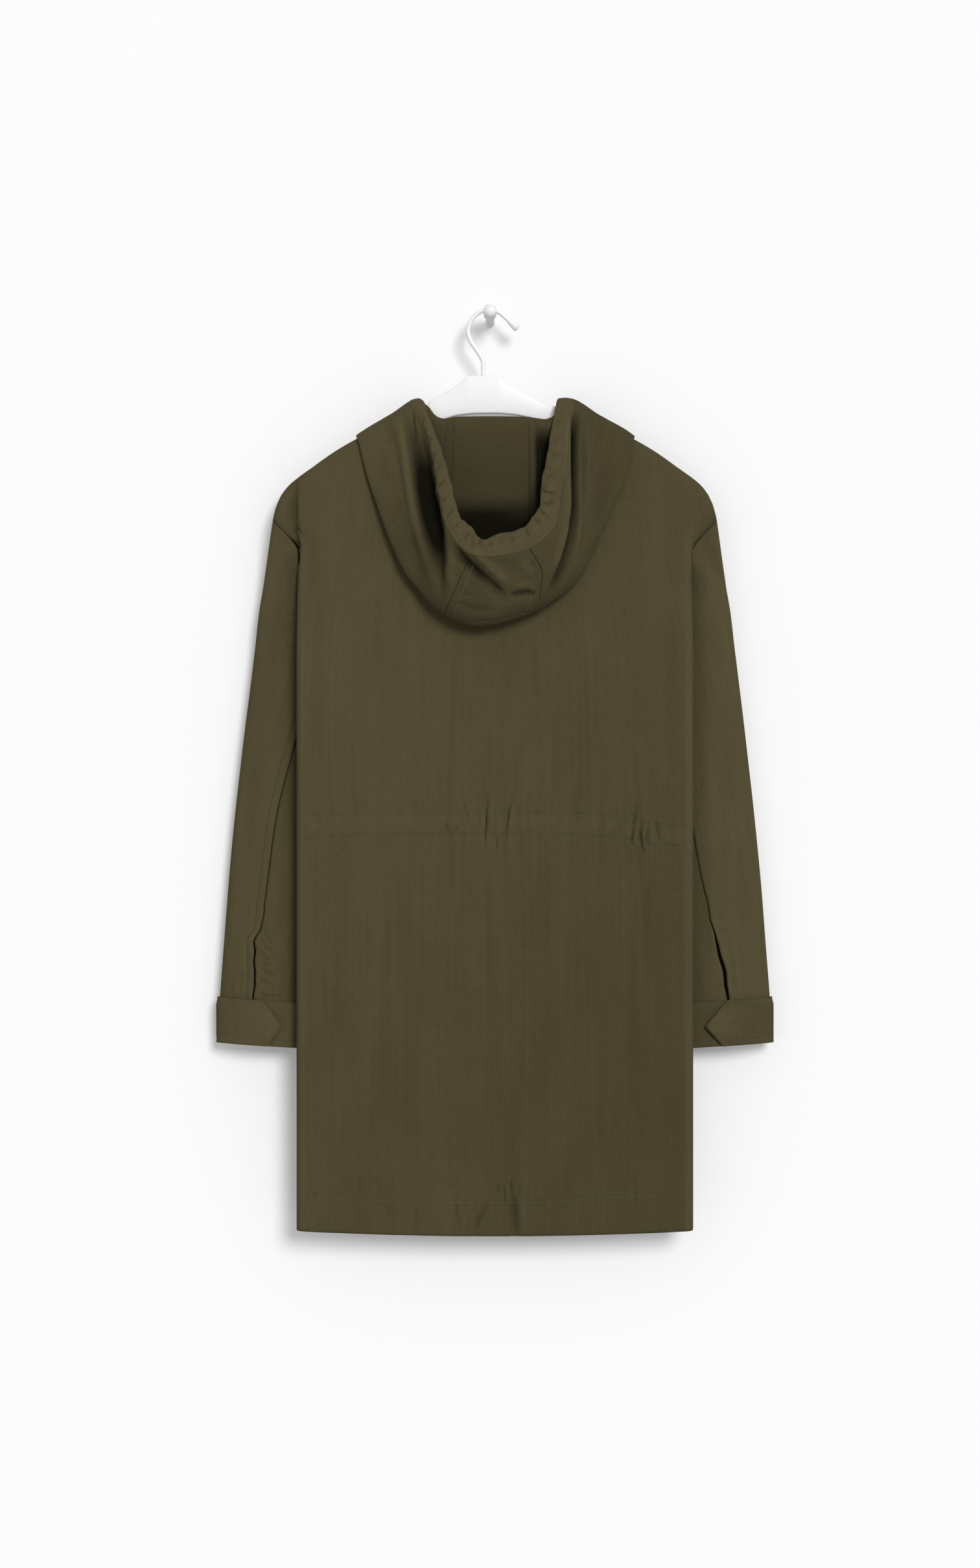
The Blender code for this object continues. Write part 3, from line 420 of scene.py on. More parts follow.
@dataclass(frozen=True)
class Crease:
    """Soft trough or ridge along a line, seen from the viewer's side.

    The cloth moves by rise at the line and eases back to nothing at width on either side. A lean above
    0 makes the slope to the right of the line's run longer and the other one shorter. The crease dies
    out over the fade share of its length at each end. A sharp one is bent at the line, not rounded.
    """

    path: Path
    width: float
    rise: float
    fade: float = 0.35
    lean: float = 0.0
    sharp: bool = False

    def rise_at(self, x: Array, z: Array) -> Array:
        """How far the cloth moves out at each place.

        Args:
            x: Places across the garment.
            z: Heights of the same places.

        Returns:
            Movement along the cloth's outward direction.
        """
        corners = np.array(self.path, dtype=float)
        reach = self.width * (1 + abs(self.lean))
        low, high = corners.min(axis=0) - reach, corners.max(axis=0) + reach
        near = (x > low[0]) & (x < high[0]) & (z > low[1]) & (z < high[1])
        total = np.zeros(x.shape)
        if not near.any():
            return total
        px, pz = x[near], z[near]
        runs = np.diff(corners, axis=0)
        lengths = np.hypot(runs[:, 0], runs[:, 1])
        starts = np.concatenate([[0.0], np.cumsum(lengths)])
        best = np.full(px.shape, np.inf)
        along = np.zeros(px.shape)
        side = np.zeros(px.shape)
        for corner, run, length, start in zip(corners, runs, lengths, starts):
            way = run / length
            ahead = np.clip((px - corner[0]) * way[0] + (pz - corner[1]) * way[1], 0.0, length)
            off_x = px - corner[0] - ahead * way[0]
            off_z = pz - corner[1] - ahead * way[1]
            gap = np.hypot(off_x, off_z)
            nearer = gap < best
            best = np.where(nearer, gap, best)
            along = np.where(nearer, start + ahead, along)
            side = np.where(nearer, np.sign(off_x * way[1] - off_z * way[0]), side)
        share = along / starts[-1]
        taper = ease(share / self.fade) * ease((1 - share) / self.fade)
        close = np.maximum(1 - best / (self.width * (1 + self.lean * side)), 0.0)
        total[near] = self.rise * taper * (close**2 if self.sharp else ease(close))
        return total


def creased(creases: Sequence[Crease], x: Array, z: Array) -> Array:
    """Sum of what many creases do to the cloth at each place."""
    total = np.zeros(x.shape)
    for crease in creases:
        total += crease.rise_at(x, z)
    return total


def uneven(x: Array, z: Array, start: float) -> Array:
    """Slow swell of hanging cloth: five sine waves of x and z, 33 to 163 mm long, that never line up."""
    total = 0.34 * np.sin(x / 11.3 + z / 140.0 + start)
    total += 0.30 * np.sin(x / 19.7 - z / 95.0 + 2.1 * start)
    total += 0.26 * np.sin(x / 7.1 + z / 61.0 + 0.7 * start) * np.sin(z / 53.0 + start)
    total += 0.22 * np.sin(x / 26.0 + z / 24.0 + 1.3 * start)
    return total + 0.16 * np.sin(x / 5.2 - z / 33.0 + start) * np.sin(x / 37.0 + z / 47.0)


def puckered(x: Array, off: Array, reach: float, start: float) -> Array:
    """Small puckers beside a stitched row, which die out at a reach from it.

    Args:
        x: Places along the row.
        off: Distance of the same places from the row.
        reach: Distance at which the cloth lies flat again.
        start: Phase, so that no two rows pucker alike.

    Returns:
        Movement out of the cloth: a groove at the row between uneven ripples of two lengths.
    """
    near = ease(1 - np.abs(off) / reach)
    ripple = np.sin(x / 1.55 + 1.7 * np.sin(x / 17.0 + start)) * (0.6 + 0.4 * np.sin(x / 23.0 + start))
    ripple = ripple + 0.7 * np.sin(x / 3.1 + 2.2 * np.sin(x / 29.0 - start) + start)
    groove = ease(1 - np.abs(off) / GROOVE_WIDTH)
    return PUCKER_RISE * near * ripple - GROOVE_DEPTH * groove


@dataclass
class Body:
    """Form that the panels and the hood lie on: cloth hung over the shoulder ridge."""

    ridge_y: float = -29.0
    ridge_r: float = 9.0
    back_swell: float = 20.0
    front_swell: float = 6.0
    swell_run: float = 200.0
    shoulder_w: float = 240.0
    slope_span: float = 30.0
    least_cos: float = 0.45
    neck_half: float = 80.0
    neck_squareness: int = 8
    nape_drop: float = 27.6
    throat_drop: float = 92.0
    seam_reach: float = -6.0
    seam_back_from: float = 150.0
    seam_back_run: float = 80.0
    hem_z: float = -997.0
    yoke_z: float = -420.0
    fold_x: float = 204.3
    fold_r: float = 9.0
    turn_from_z: float = -215.0
    turn_to_z: float = -262.0
    waist_top_z: float = -546.0
    waist_low_z: float = -570.0
    strip_x: float = 158.0
    bulge_x: float = 110.0
    tuck_from_z: float = -240.0
    tuck_to_z: float = -355.0
    front_edge_x: float = 1.0
    gather_share: float = 0.55

    def ridge_z(self, x: Array) -> Array:
        """Height of the shoulder ridge at a distance from the centre line."""
        return curve(column(SHOULDER, "x"), column(SHOULDER, "z"), np.abs(x))

    def ridge_cos(self, x: Array) -> Array:
        """Cosine of the ridge's slope, kept from closing up where the ridge turns down the sleeve."""
        outer = np.abs(x) + self.slope_span
        inner = np.maximum(np.abs(x) - self.slope_span, 0.0)
        slope = (self.ridge_z(outer) - self.ridge_z(inner)) / (outer - inner)
        return np.maximum(1 / np.sqrt(1 + slope * slope), self.least_cos)

    def edge(self, name: str, z: Array) -> Array:
        """A column of the side edge table at a height."""
        return curve(column(SIDE_EDGE, "z"), column(SIDE_EDGE, name), z)

    def reach_at(self, x: Array, z: Array) -> Array:
        """Length of cloth from the ridge down to a height, for a point on either side of the body."""
        drop = np.maximum((self.ridge_z(x) - z) * self.ridge_cos(x), 0.0)
        turned = self.ridge_r * np.arccos(np.clip(1 - drop / self.ridge_r, 0.0, 1.0))
        return np.where(drop < self.ridge_r, turned, self.ridge_r * QUARTER + drop - self.ridge_r)

    def drape(self, x: Array, reach: Array) -> tuple[Array, Array, Array]:
        """Height, drop and turn of a point that lies a reach of cloth away from the ridge at x."""
        turn = np.minimum(np.abs(reach) / self.ridge_r, QUARTER)
        beyond = np.maximum(np.abs(reach) - self.ridge_r * QUARTER, 0.0)
        drop = self.ridge_r * (1 - np.cos(turn)) + beyond
        return self.ridge_z(x) - drop / self.ridge_cos(x), drop, turn

    def surface(self, x: Array, reach: Array) -> Array:
        """Plain body under the hood: reach is positive down the back and negative down the front."""
        z, drop, turn = self.drape(x, reach)
        top_x = x * self.shoulder_w / self.edge("back", z)
        back_drop = np.maximum((self.ridge_z(top_x) - z) * self.ridge_cos(top_x), 0.0)
        round_off = self.ridge_r * np.sin(turn)
        back = round_off + self.back_swell * ease(back_drop / self.swell_run)
        front = round_off + self.front_swell * ease(drop / self.swell_run)
        y = self.ridge_y + np.where(reach > 0, -back, front)
        return np.stack([x + 0 * y, y, z], axis=-1)

    def normal(self, x: Array, reach: Array) -> Array:
        """Outward direction of the body, from steps of half a millimetre along it and down it."""
        step = 0.5
        along = self.surface(x + step, reach) - self.surface(x - step, reach)
        down = self.surface(x, reach + step) - self.surface(x, reach - step)
        return unit(np.cross(down, along))

    def gathered(self, x: Array, z: Array) -> Array:
        """How far the gathers and soft folds of the back stand out at a point."""
        rise = np.zeros(np.broadcast(x, z).shape)
        for gather in GATHERS:
            above = ease(1 - (z - self.waist_top_z) / gather.up)
            below = ease(1 - (self.waist_low_z - z) / gather.down)
            near = ease(1 - np.abs(x - gather.x) / gather.width) * np.minimum(above, below)
            rise += self.gather_share * gather.rise * near
        for fold in SOFT_FOLDS:
            along = np.clip((fold.top - z) / (fold.top - fold.low), 0.0, 1.0)
            rise += fold.rise * ease(1 - np.abs(x - fold.x) / fold.width) * np.sin(math.pi * along) ** 2
        return rise

    def hinge_y(self, z: Array) -> Array:
        """Depth of the back where its side fold begins to turn."""
        hinge_x = self.fold_x * self.shoulder_w / self.edge("back", z)
        drop = np.maximum((self.ridge_z(hinge_x) - z) * self.ridge_cos(hinge_x), self.ridge_r)
        return self.ridge_y - self.ridge_r - self.back_swell * ease(drop / self.swell_run)

    def back_point(self, u: Array, reach: Array) -> Array:
        """Back panel: u runs from -1 to 1 across it and reach down it from the shoulder ridge."""
        z, drop, turn = self.drape(np.abs(u) * self.shoulder_w, reach)
        along = np.abs(u) * self.edge("back", z)
        out = self.ridge_r * np.sin(turn) + self.back_swell * ease(drop / self.swell_run)
        flat = np.stack([along, self.ridge_y - np.sign(reach) * out, z], axis=-1)
        bend = self.edge("turn", z)
        beyond = np.maximum(along - self.fold_x, 0.0)
        turned = np.minimum(beyond / self.fold_r, bend)
        rest = np.maximum(beyond - self.fold_r * bend, 0.0)
        fold_x = self.fold_x + self.fold_r * np.sin(turned) + rest * np.cos(bend)
        fold_y = self.hinge_y(z) + self.fold_r * (1 - np.cos(turned)) + rest * np.sin(bend)
        folded = np.stack([fold_x, fold_y, z], axis=-1)
        share = ease((self.turn_from_z - z) / (self.turn_from_z - self.turn_to_z)) * (beyond > 0)
        point = flat + share[..., None] * (folded - flat)
        point[..., 0] *= np.sign(u)
        point[..., 1] -= self.gathered(np.sign(u) * along, z) * (beyond <= 0)
        return point

    def front_point(self, u: Array, reach: Array) -> Array:
        """Front panel on the +x side: u runs from the closing, 0, to the armhole and side seam, 1."""
        top_x = self.front_edge_x + u * (self.shoulder_w - self.front_edge_x)
        z, drop, turn = self.drape(top_x, reach)
        x = self.front_edge_x + u * (self.edge("front", z) - self.front_edge_x)
        bulge = self.ridge_y + self.ridge_r * np.sin(turn) + self.front_swell * ease(drop / self.swell_run)
        outward = ease((x - self.bulge_x) / (self.strip_x - self.bulge_x))
        downward = ease((self.tuck_from_z - z) / (self.tuck_from_z - self.tuck_to_z))
        strip_y = self.hinge_y(z) + 2 * self.fold_r
        return np.stack([x, bulge + outward * downward * (strip_y - bulge), z], axis=-1)

    def back_neck_reach(self, x: Array) -> Array:
        """Where the back starts: the neck seam, then the shoulder seam just in front of the ridge."""
        x = np.abs(x)
        shoulder = self.seam_reach * (1 - ease((x - self.seam_back_from) / self.seam_back_run))
        squared = np.minimum(x / self.neck_half, 1.0) ** self.neck_squareness
        neck = self.nape_drop + (self.seam_reach - self.nape_drop) * squared
        return np.where(x < self.neck_half, neck, shoulder)

    def front_neck_reach(self, x: Array) -> Array:
        """Where a front starts: its neck seam, then the shoulder seam against the back's edge."""
        hollow = np.sqrt(np.maximum(1 - (x / self.neck_half) ** 2, 0.0))
        shoulder = self.back_neck_reach(np.maximum(x, self.neck_half))
        return shoulder - 2 * GAP - self.throat_drop * hollow


def to_frame(points: Array, place: Array = GARMENT_PLACE) -> Array:
    """Millimetres to metres from the peg's wall face."""
    return (points + place) * MM


def grid_quads(rows: int, columns: int) -> Array:
    """Corner numbers of a grid's faces, each down a row, across a column and back up."""
    index = np.arange(rows * columns).reshape(rows, columns)
    corners = (index[:-1, :-1], index[1:, :-1], index[1:, 1:], index[:-1, 1:])
    return np.stack(corners, axis=-1).reshape(-1, 4)


def rim_quads(rows: int, columns: int) -> Array:
    """Corner numbers of the faces that join a grid's border to a second grid's that follows it."""
    index = np.arange(rows * columns).reshape(rows, columns)
    border = np.concatenate([index[0, :-1], index[:-1, -1], index[-1, :0:-1], index[:0:-1, 0]])
    after = np.roll(border, -1)
    second = rows * columns
    return np.stack([border, after, after + second, border + second], axis=-1)


def make_mesh(name: str, vertices: Array, quads: Array, cut: Array | None = None) -> Mesh:
    """Mesh of four-sided faces, smooth shaded.

    Args:
        name: The mesh's name.
        vertices: Points in metres.
        quads: Four corner numbers per face.
        cut: Place of each point on the flat cut, in metres, which becomes the UV map.

    Returns:
        The new mesh.
    """
    mesh = bpy.data.meshes.new(name)
    mesh.vertices.add(len(vertices))
    mesh.vertices.foreach_set("co", np.ascontiguousarray(vertices, dtype=np.float32).ravel())
    mesh.loops.add(quads.size)
    mesh.loops.foreach_set("vertex_index", quads.astype(np.int32).ravel())
    mesh.polygons.add(len(quads))
    mesh.polygons.foreach_set("loop_start", np.arange(0, quads.size, 4, dtype=np.int32))
    mesh.polygons.foreach_set("use_smooth", np.ones(len(quads), dtype=bool))
    if cut is not None:
        layer = mesh.uv_layers.new(name="Cut")
        layer.data.foreach_set("uv", cut[quads.ravel()].astype(np.float32).ravel())
    mesh.update()
    mesh.validate()
    return mesh


def link(item: Piece) -> None:
    """Put an object into the scene."""
    bpy.context.scene.collection.objects.link(item)


def add_piece(mesh: Mesh, material: Material, nodes: Sequence[str] = ()) -> Piece:
    """Object for a mesh, which rides on the part's one body.

    Args:
        mesh: The piece's mesh, whose name it takes.
        material: Its finish.
        nodes: Solids that the piece stands for.

    Returns:
        The new object.
    """
    piece = bpy.data.objects.new(mesh.name, mesh)
    mesh.materials.append(material)
    link(piece)
    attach(piece, "root")
    if nodes:
        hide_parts(*nodes)
    LOG.info("%s: %d triangles", mesh.name, 2 * len(mesh.polygons))
    return piece


@dataclass
class Panel:
    """Cut piece of cloth: a surface of two parameters with creases laid on it."""

    name: str
    body: Body
    thickness: float = CLOTH
    outward: float = 1.0
    step_a: float = 0.002
    step_b: float = 0.002

    def base(self, a: Array, b: Array) -> Array:
        """Plain surface at the two parameters, given as flat arrays."""
        raise NotImplementedError

    def rise(self, a: Array, b: Array, points: Array) -> Array:
        """How far creases lift the cloth off the plain surface."""
        return np.zeros(a.shape)

    def shade(self, a: Array, b: Array, points: Array) -> tuple[Array, Array]:
        """Painted shade (below 0) or light (above 0) of the outer and the inner face, measured like a crease.
        """
        return np.zeros(a.shape), np.zeros(a.shape)

    @staticmethod
    def cut(points: Array) -> Array:
        """Place of each point on the flat cut: lengths of cloth along the grid's lines."""
        rows, columns = points.shape[:2]
        across = np.linalg.norm(np.diff(points, axis=1), axis=-1)
        down = np.linalg.norm(np.diff(points, axis=0), axis=-1)
        u = np.concatenate([np.zeros((rows, 1)), np.cumsum(across, axis=1)], axis=1)
        v = np.concatenate([np.zeros((1, columns)), np.cumsum(down, axis=0)], axis=0)
        middle = u[:, columns // 2 : columns // 2 + 1]
        return np.stack([u - middle, -v], axis=-1)

    def direction(self, a: Array, b: Array) -> Array:
        """Outward direction of the plain surface, from small steps along both parameters."""
        along_a = self.base(a + self.step_a, b) - self.base(a - self.step_a, b)
        along_b = self.base(a, b + self.step_b) - self.base(a, b - self.step_b)
        return self.outward * unit(np.cross(along_a, along_b))

    def place(self, a: Array, b: Array) -> Array:
        """Creased surface: the plain one, moved out along its own direction."""
        points = self.base(a, b)
        return points + self.rise(a, b, points)[:, None] * self.direction(a, b)

    def mesh(self, a: Array, b: Array) -> Mesh:
        """Closed cloth wall through the creased surface.

        Args:
            a: Parameter values down the grid's rows.
            b: Parameter values across its columns.

        Returns:
            Mesh of both faces of the cloth and its edge, with the crease depth plus painted shade as an
            attribute.
        """
        rows, columns = len(a), len(b)
        grid_a, grid_b = (part.ravel() for part in np.meshgrid(a, b, indexing="ij"))
        plain = self.base(grid_a, grid_b)
        lift = self.rise(grid_a, grid_b, plain)
        points = plain + lift[:, None] * self.direction(grid_a, grid_b)
        points = points.reshape(rows, columns, 3)
        outer, inner = self.shade(grid_a, grid_b, plain)
        down, across = np.gradient(points, axis=0), np.gradient(points, axis=1)
        half = self.outward * unit(np.cross(down, across)) * self.thickness / 2
        vertices = np.concatenate([(points + half).reshape(-1, 3), (points - half).reshape(-1, 3)])
        face = grid_quads(rows, columns)
        quads = np.concatenate([face, face[:, ::-1] + rows * columns, rim_quads(rows, columns)])
        if self.outward < 0:
            quads = quads[:, ::-1]
        cut = self.cut(points).reshape(-1, 2) * MM
        mesh = make_mesh(self.name, to_frame(vertices), quads, np.concatenate([cut, cut]))
        # Painted shade and light: the attribute holds the crease depth plus shade()'s painted shade, which
        # the weave turns into darker troughs and hollows and lighter ridges
        depth = mesh.attributes.new("crease", "FLOAT", "POINT")
        depth.data.foreach_set("value", np.concatenate([outer + lift, inner - lift]).astype(np.float32))
        return mesh


@dataclass
class Stitching:
    """Rows of machine stitches on a panel: short plump threads that dip into the cloth at both ends."""

    name: str
    pitch: float = 2.75
    length: float = 1.8
    radius: float = 0.36
    lift: float = 0.12
    sides: int = 4
    ring_places: tuple[float, ...] = (-1.0, -0.5, 0.5, 1.0)
    ring_swells: tuple[float, ...] = (0.2, 1.0, 1.0, 0.2)

    def __post_init__(self) -> None:
        """Start with no stitches."""
        self.centres: list[Array] = []
        self.ways: list[Array] = []
        self.ups: list[Array] = []

    def sew(self, panel: Panel, a: Array | float, b: Array | float, inside: bool = False) -> None:
        """Add a row along a line of parameter values on one face of a panel.

        Args:
            panel: Panel that is sewn.
            a: First parameter along the row, closely spaced, or its one value.
            b: Second parameter along the row, or its one value.
            inside: Whether the stitches lie on the inner face.
        """
        a, b = np.broadcast_arrays(a, b)
        step_a, step_b = panel.step_a, panel.step_b
        here = panel.place(a, b)
        along_a = panel.place(a + step_a, b) - panel.place(a - step_a, b)
        along_b = panel.place(a, b + step_b) - panel.place(a, b - step_b)
        out = (-panel.outward if inside else panel.outward) * unit(np.cross(along_a, along_b))
        spine = here + out * (panel.thickness / 2 + self.lift)
        place = running(spine)
        count = max(int(place[-1] / self.pitch), 1)
        begin = (np.arange(count) + 0.5 * (1 - self.length / self.pitch)) * place[-1] / count
        ends = [begin, begin + self.length * place[-1] / count / self.pitch]
        first, last = (between(end, place, spine) for end in ends)
        middle = (ends[0] + ends[1]) / 2
        self.centres.append((first + last) / 2)
        self.ways.append(unit(last - first))
        self.ups.append(between(middle, place, out))

    def build(self, material: Material) -> Piece:
        """One mesh of all the rows: each stitch is a ring of points swelled along the thread.

        Args:
            material: Thread's finish.

        Returns:
            The stitches' object.
        """
        centre, way, up = (np.concatenate(part) for part in (self.centres, self.ways, self.ups))
        across = unit(np.cross(way, up))
        up = np.cross(across, way)
        along = np.array(self.ring_places) * self.length / 2
        swell = np.array(self.ring_swells) * self.radius
        turn = round_turn(self.sides)
        shape = (len(centre), len(along), self.sides, 3)
        ring = np.cos(turn)[:, None] * across[:, None, None, :] + np.sin(turn)[:, None] * up[:, None, None, :]
        points = centre[:, None, None, :] + along[:, None, None] * way[:, None, None, :]
        points = np.broadcast_to(points + swell[:, None, None] * ring, shape)
        index = np.arange(len(along) * self.sides).reshape(len(along), self.sides)
        beside = np.roll(index, -1, axis=1)
        faces = np.stack([index[:-1], index[1:], beside[1:], beside[:-1]], axis=-1).reshape(-1, 4)
        faces = np.concatenate([faces, index[:1], index[-1:, ::-1]])
        quads = (faces[None] + np.arange(len(centre))[:, None, None] * index.size).reshape(-1, 4)
        flat = points.reshape(-1, 3)
        mesh = make_mesh(self.name, to_frame(flat), quads, flat[:, [0, 2]] * MM)
        return add_piece(mesh, material)


def lines(*table: tuple[float, float, float, float, float, float]) -> tuple[Crease, ...]:
    """Straight creases from rows of first x and z, last x and z, width and rise."""
    return tuple(Crease(((x, z), (end_x, end_z)), width, rise) for x, z, end_x, end_z, width, rise in table)


def cuts(*table: tuple[Path, float, float]) -> tuple[Crease, ...]:
    """Sharp creases from rows of path, width and rise."""
    return tuple(Crease(path, width, rise, CUT_FADE, 0.0, True) for path, width, rise in table)


# Sharp creases that the waist casing's cord and the hem's turning pull into the back
BACK_CUTS = cuts(
    (((-7.2, -516), (-7.4, -532), (-8.9, -545), (-8.9, -556), (-10.7, -571), (-11.6, -588)), 4.2, -3.5),
    (((21, -518), (15, -543), (13.8, -552), (11.5, -566), (9.6, -576)), 3.8, -2.9),
    (((-29.8, -538), (-29.4, -552), (-29, -564)), 2.8, -1.8),
    (((-36.6, -546), (-38.3, -558), (-44.5, -564), (-46.6, -571), (-46.9, -584)), 3, -2),
    (((1, -567), (2, -577), (2.8, -589)), 3.6, -2.1), (((-52.6, -549), (-51.4, -567)), 2.6, -1.1),
    (((-34, -530), (-31, -547)), 2.6, -1.1),
    (((152.2, -526), (150.7, -550), (148, -569), (146, -574), (150, -581), (155, -590)), 4.2, -3.4),
    (((158, -547), (155.8, -567), (157.7, -580), (164.5, -597)), 4.2, -3.1),
    (((165, -556), (162.6, -571), (161.4, -583)), 3.4, -2.2),
    (((171, -546), (175, -566), (177.8, -580)), 3.6, -2.1), (((182, -570), (185, -588)), 3, -1.1),
    (((116.8, -545), (115.4, -567)), 2.6, -1.5), (((135.4, -552), (132.8, -574)), 2.6, -1.5),
    (((128, -560), (129, -572)), 2.4, -0.9), (((94.6, -549), (93.6, -564)), 2.6, -0.9),
    (((56.6, -516), (54.2, -541)), 2.8, -1.2), (((67, -549), (66, -572), (64, -606)), 2.8, -0.9),
    (((-113, -545), (-110.8, -556), (-114.4, -569)), 3, -1.8),
    (((-115, -567), (-114, -588)), 2.8, -1.2), (((-166, -544), (-164, -560)), 3.2, -1.1),
    (((-158, -570), (-164, -580), (-171, -594)), 3.6, -1.2), (((-192, -548), (-190, -566)), 3.2, -1),
    (((-82, -562), (-81, -580)), 2.8, -0.8), (((203, -552), (204, -578)), 2.8, -1),
    (((-195, -946), (-194, -966)), 3.9, -1.6), (((-145, -930), (-146, -960)), 4.1, -1.9),
    (((-125, -934), (-124, -961)), 4.1, -2.2), (((-117, -963), (-112, -985)), 4.4, -1.9),
    (((-86, -962), (-85, -998)), 4.6, -1.9), (((-41, -962), (-42, -985)), 3.9, -2.1),
    (((-3, -958), (-11, -968), (-18, -982), (-24, -1001)), 5.3, -3),
    (((2, -938), (4, -957)), 3.4, -1.8), (((9, -942), (10.5, -958), (10, -968)), 3.4, -1.9),
    (((16, -936), (18.6, -958)), 3.6, -2.3), (((25, -943), (26.5, -961)), 3.4, -1.8),
    (((33.5, -951), (33, -973)), 3.4, -1.5), (((76, -890), (75, -1000)), 5, -1.2),
    (((92, -950), (90.5, -999)), 5.1, -1.4), (((150, -940), (151, -974)), 3.9, -1.3),
)
# Drag fold of the left shoulder, in line with the body's side fold below it
SHOULDER_FOLD = Crease(((-214, -176), (-215, -215), (-214.6, -258), (-213.6, -300)), 9, -6, 0.3, 0.78)
# Long soft troughs and ridges of the back
BACK_CREASES = lines(
    (-13.5, -528, -15.5, -600, 5, 0.9), (-3.8, -524, -5.6, -586, 4.6, 0.9),
    (18.6, -530, 15.6, -580, 4.6, 0.7), (143.6, -534, 141, -580, 5, 0.8),
    (153.4, -545, 152.2, -570, 3.4, 0.7), (168, -552, 168.6, -600, 4.6, 0.8),
    (-8, -440, -8, -545, 6, -1), (23, -470, 18, -540, 6, -0.8), (-10.6, -575, -8, -760, 8, -0.8),
    (-46.6, -574, -49, -640, 6, -0.8), (162, -585, 164, -760, 9, -1.4),
    (151, -480, 151.6, -545, 6, -0.8), (-25, -958, -38, -1001, 6, 1), (18, -948, 22, -1008, 8, -3.4),
    (29, -946, 31, -1000, 6, 1.2), (12.5, -938, 13, -1000, 4.6, 0.9),
) + rows_of(
    Crease,
    (((-152, -322), (-146, -470), (-150, -640)), 16, -0.9), (((-48, -360), (-49, -545)), 7, -0.8),
    (((64, -420), (66, -545)), 9, -0.8), (((96, -360), (95, -548)), 8, -0.8),
    (((-8, -600), (-4, -760), (0, -900)), 11, -0.8),
    (((150, -640), (146, -780), (150, -900)), 12, -0.9),
    (((-118, -640), (-120, -800), (-116, -930)), 11, -0.8),
    (((188, -260), (192, -400), (190, -540)), 12, -1),
    (((-188, -262), (-192, -400), (-190, -540)), 12, -0.9),
    (((108, -250), (100, -330), (98, -420)), 14, 0.9), (((40, -352), (46, -430)), 10, -0.7),
)
# Folds of the hood's upper layer, left side, then right side, then the centre strip's pouch
HOOD_CREASES = rows_of(
    Crease,
    (((-109, -110), (-101, -137), (-93, -184), (-86, -226), (-74, -268),
      (-60, -312)), 9, 3.4, 0.14),
    (((-87, -106), (-81, -135), (-74, -166), (-69, -202), (-61.5, -240),
      (-58, -274), (-56, -322)), 14, -17, 0.42, 0.3),
    (((-98, -110), (-93, -135), (-87, -166), (-81, -202), (-73, -240),
      (-64, -274)), 9, -5, 0.2, -0.2),
    (((-88.5, -108), (-88, -122), (-87, -142)), 3.4, -3, 0.35, 0, True),
    (((-59.5, -262), (-57.5, -292), (-56.5, -324)), 4, -3, 0.3, 0, True),
    (((-112, -190), (-100, -238), (-84, -282)), 16, -1.6),
    (((-128, -150), (-116, -196)), 14, -1.2),
    (((-118, -122), (-114, -150)), 7, -1),
    (((-44, -262), (-50, -286), (-48, -308)), 9, 2.4),
    (((76, -102), (76.5, -150), (76, -182), (77.5, -212), (74, -244), (68, -268),
      (58, -296)), 9, 3.6, 0.12),
    (((84, -104), (84, -135), (83.5, -165), (83.5, -215), (79, -248), (74, -266),
      (66, -292), (55, -318)), 7, -9, 0.14, -0.45),
    (((89.5, -116), (90, -170), (90, -230), (86, -288)), 4.6, 2.4, 0.25),
    (((95, -120), (95.5, -170), (94.5, -232)), 4.6, -1.6),
    (((99.5, -118), (101, -165), (99, -220)), 5, 1.3),
    (((126, -150), (118, -200), (104, -246)), 15, -1.5),
    (((-48, -256), (-27, -277), (-3, -300), (9, -311), (17, -314)), 8, -6,
     0.2, 0.5),
    (((-36, -256), (-17, -274), (4, -294), (18, -305)), 10, 4, 0.25, -0.4),
    (((14, -313.5), (28, -311.5), (36, -310.5), (44, -314)), 5, -4.4, 0.22),
    (((16, -304), (30, -303), (42, -302)), 6, 2.4),
    (((2, -282), (12, -292), (16, -300)), 3.4, -1, 0.35, 0, True),
    (((-16, -268), (2, -280)), 3.4, -1.2, 0.35, 0, True),
    (((-40, -322), (-20, -328), (2, -327)), 8, -1.4),
    (((24, -272), (33, -286), (38, -298)), 8, 2),
    (((-28, -340.5), (4, -338), (40, -328)), 2.6, -1.3, 0.12),
)
# Painted shade in the hollows between the hood's flaps and its casing and on the pouch; it changes only the
# colour
HOOD_PAINTED_SHADE = rows_of(
    Crease,
    (((-94, -116), (-90, -150), (-86, -180), (-81, -215), (-76, -240),
      (-68, -276), (-58.5, -312)), 15, -11.5, 0.45, -0.4),
    (((85, -108), (84.5, -160), (84, -215), (79, -248), (68, -290)), 5, -6, 0.2),
    (((-42, -262), (-26, -279), (-4, -301)), 8, -6, 0.3, 0.5),
    (((-92, -232), (-81, -268), (-66, -306)), 13, -5),
    (((-26, -262), (10, -274), (38, -282)), 20, -2.4),
)
# Puckers beside the pouch seams
HOOD_PUCKERS = lines(
    (-24, -290, -14, -294, 2.6, -0.9), (-30, -301, -18, -304, 2.6, -1), (-36, -312, -24, -313, 2.8, -1),
    (-42, -322, -32, -321, 2.6, -0.8), (45, -282, 36, -279, 2.6, -0.9), (49, -293, 38, -292, 2.6, -0.9),
    (50, -303, 41, -303, 2.6, -0.8),
)
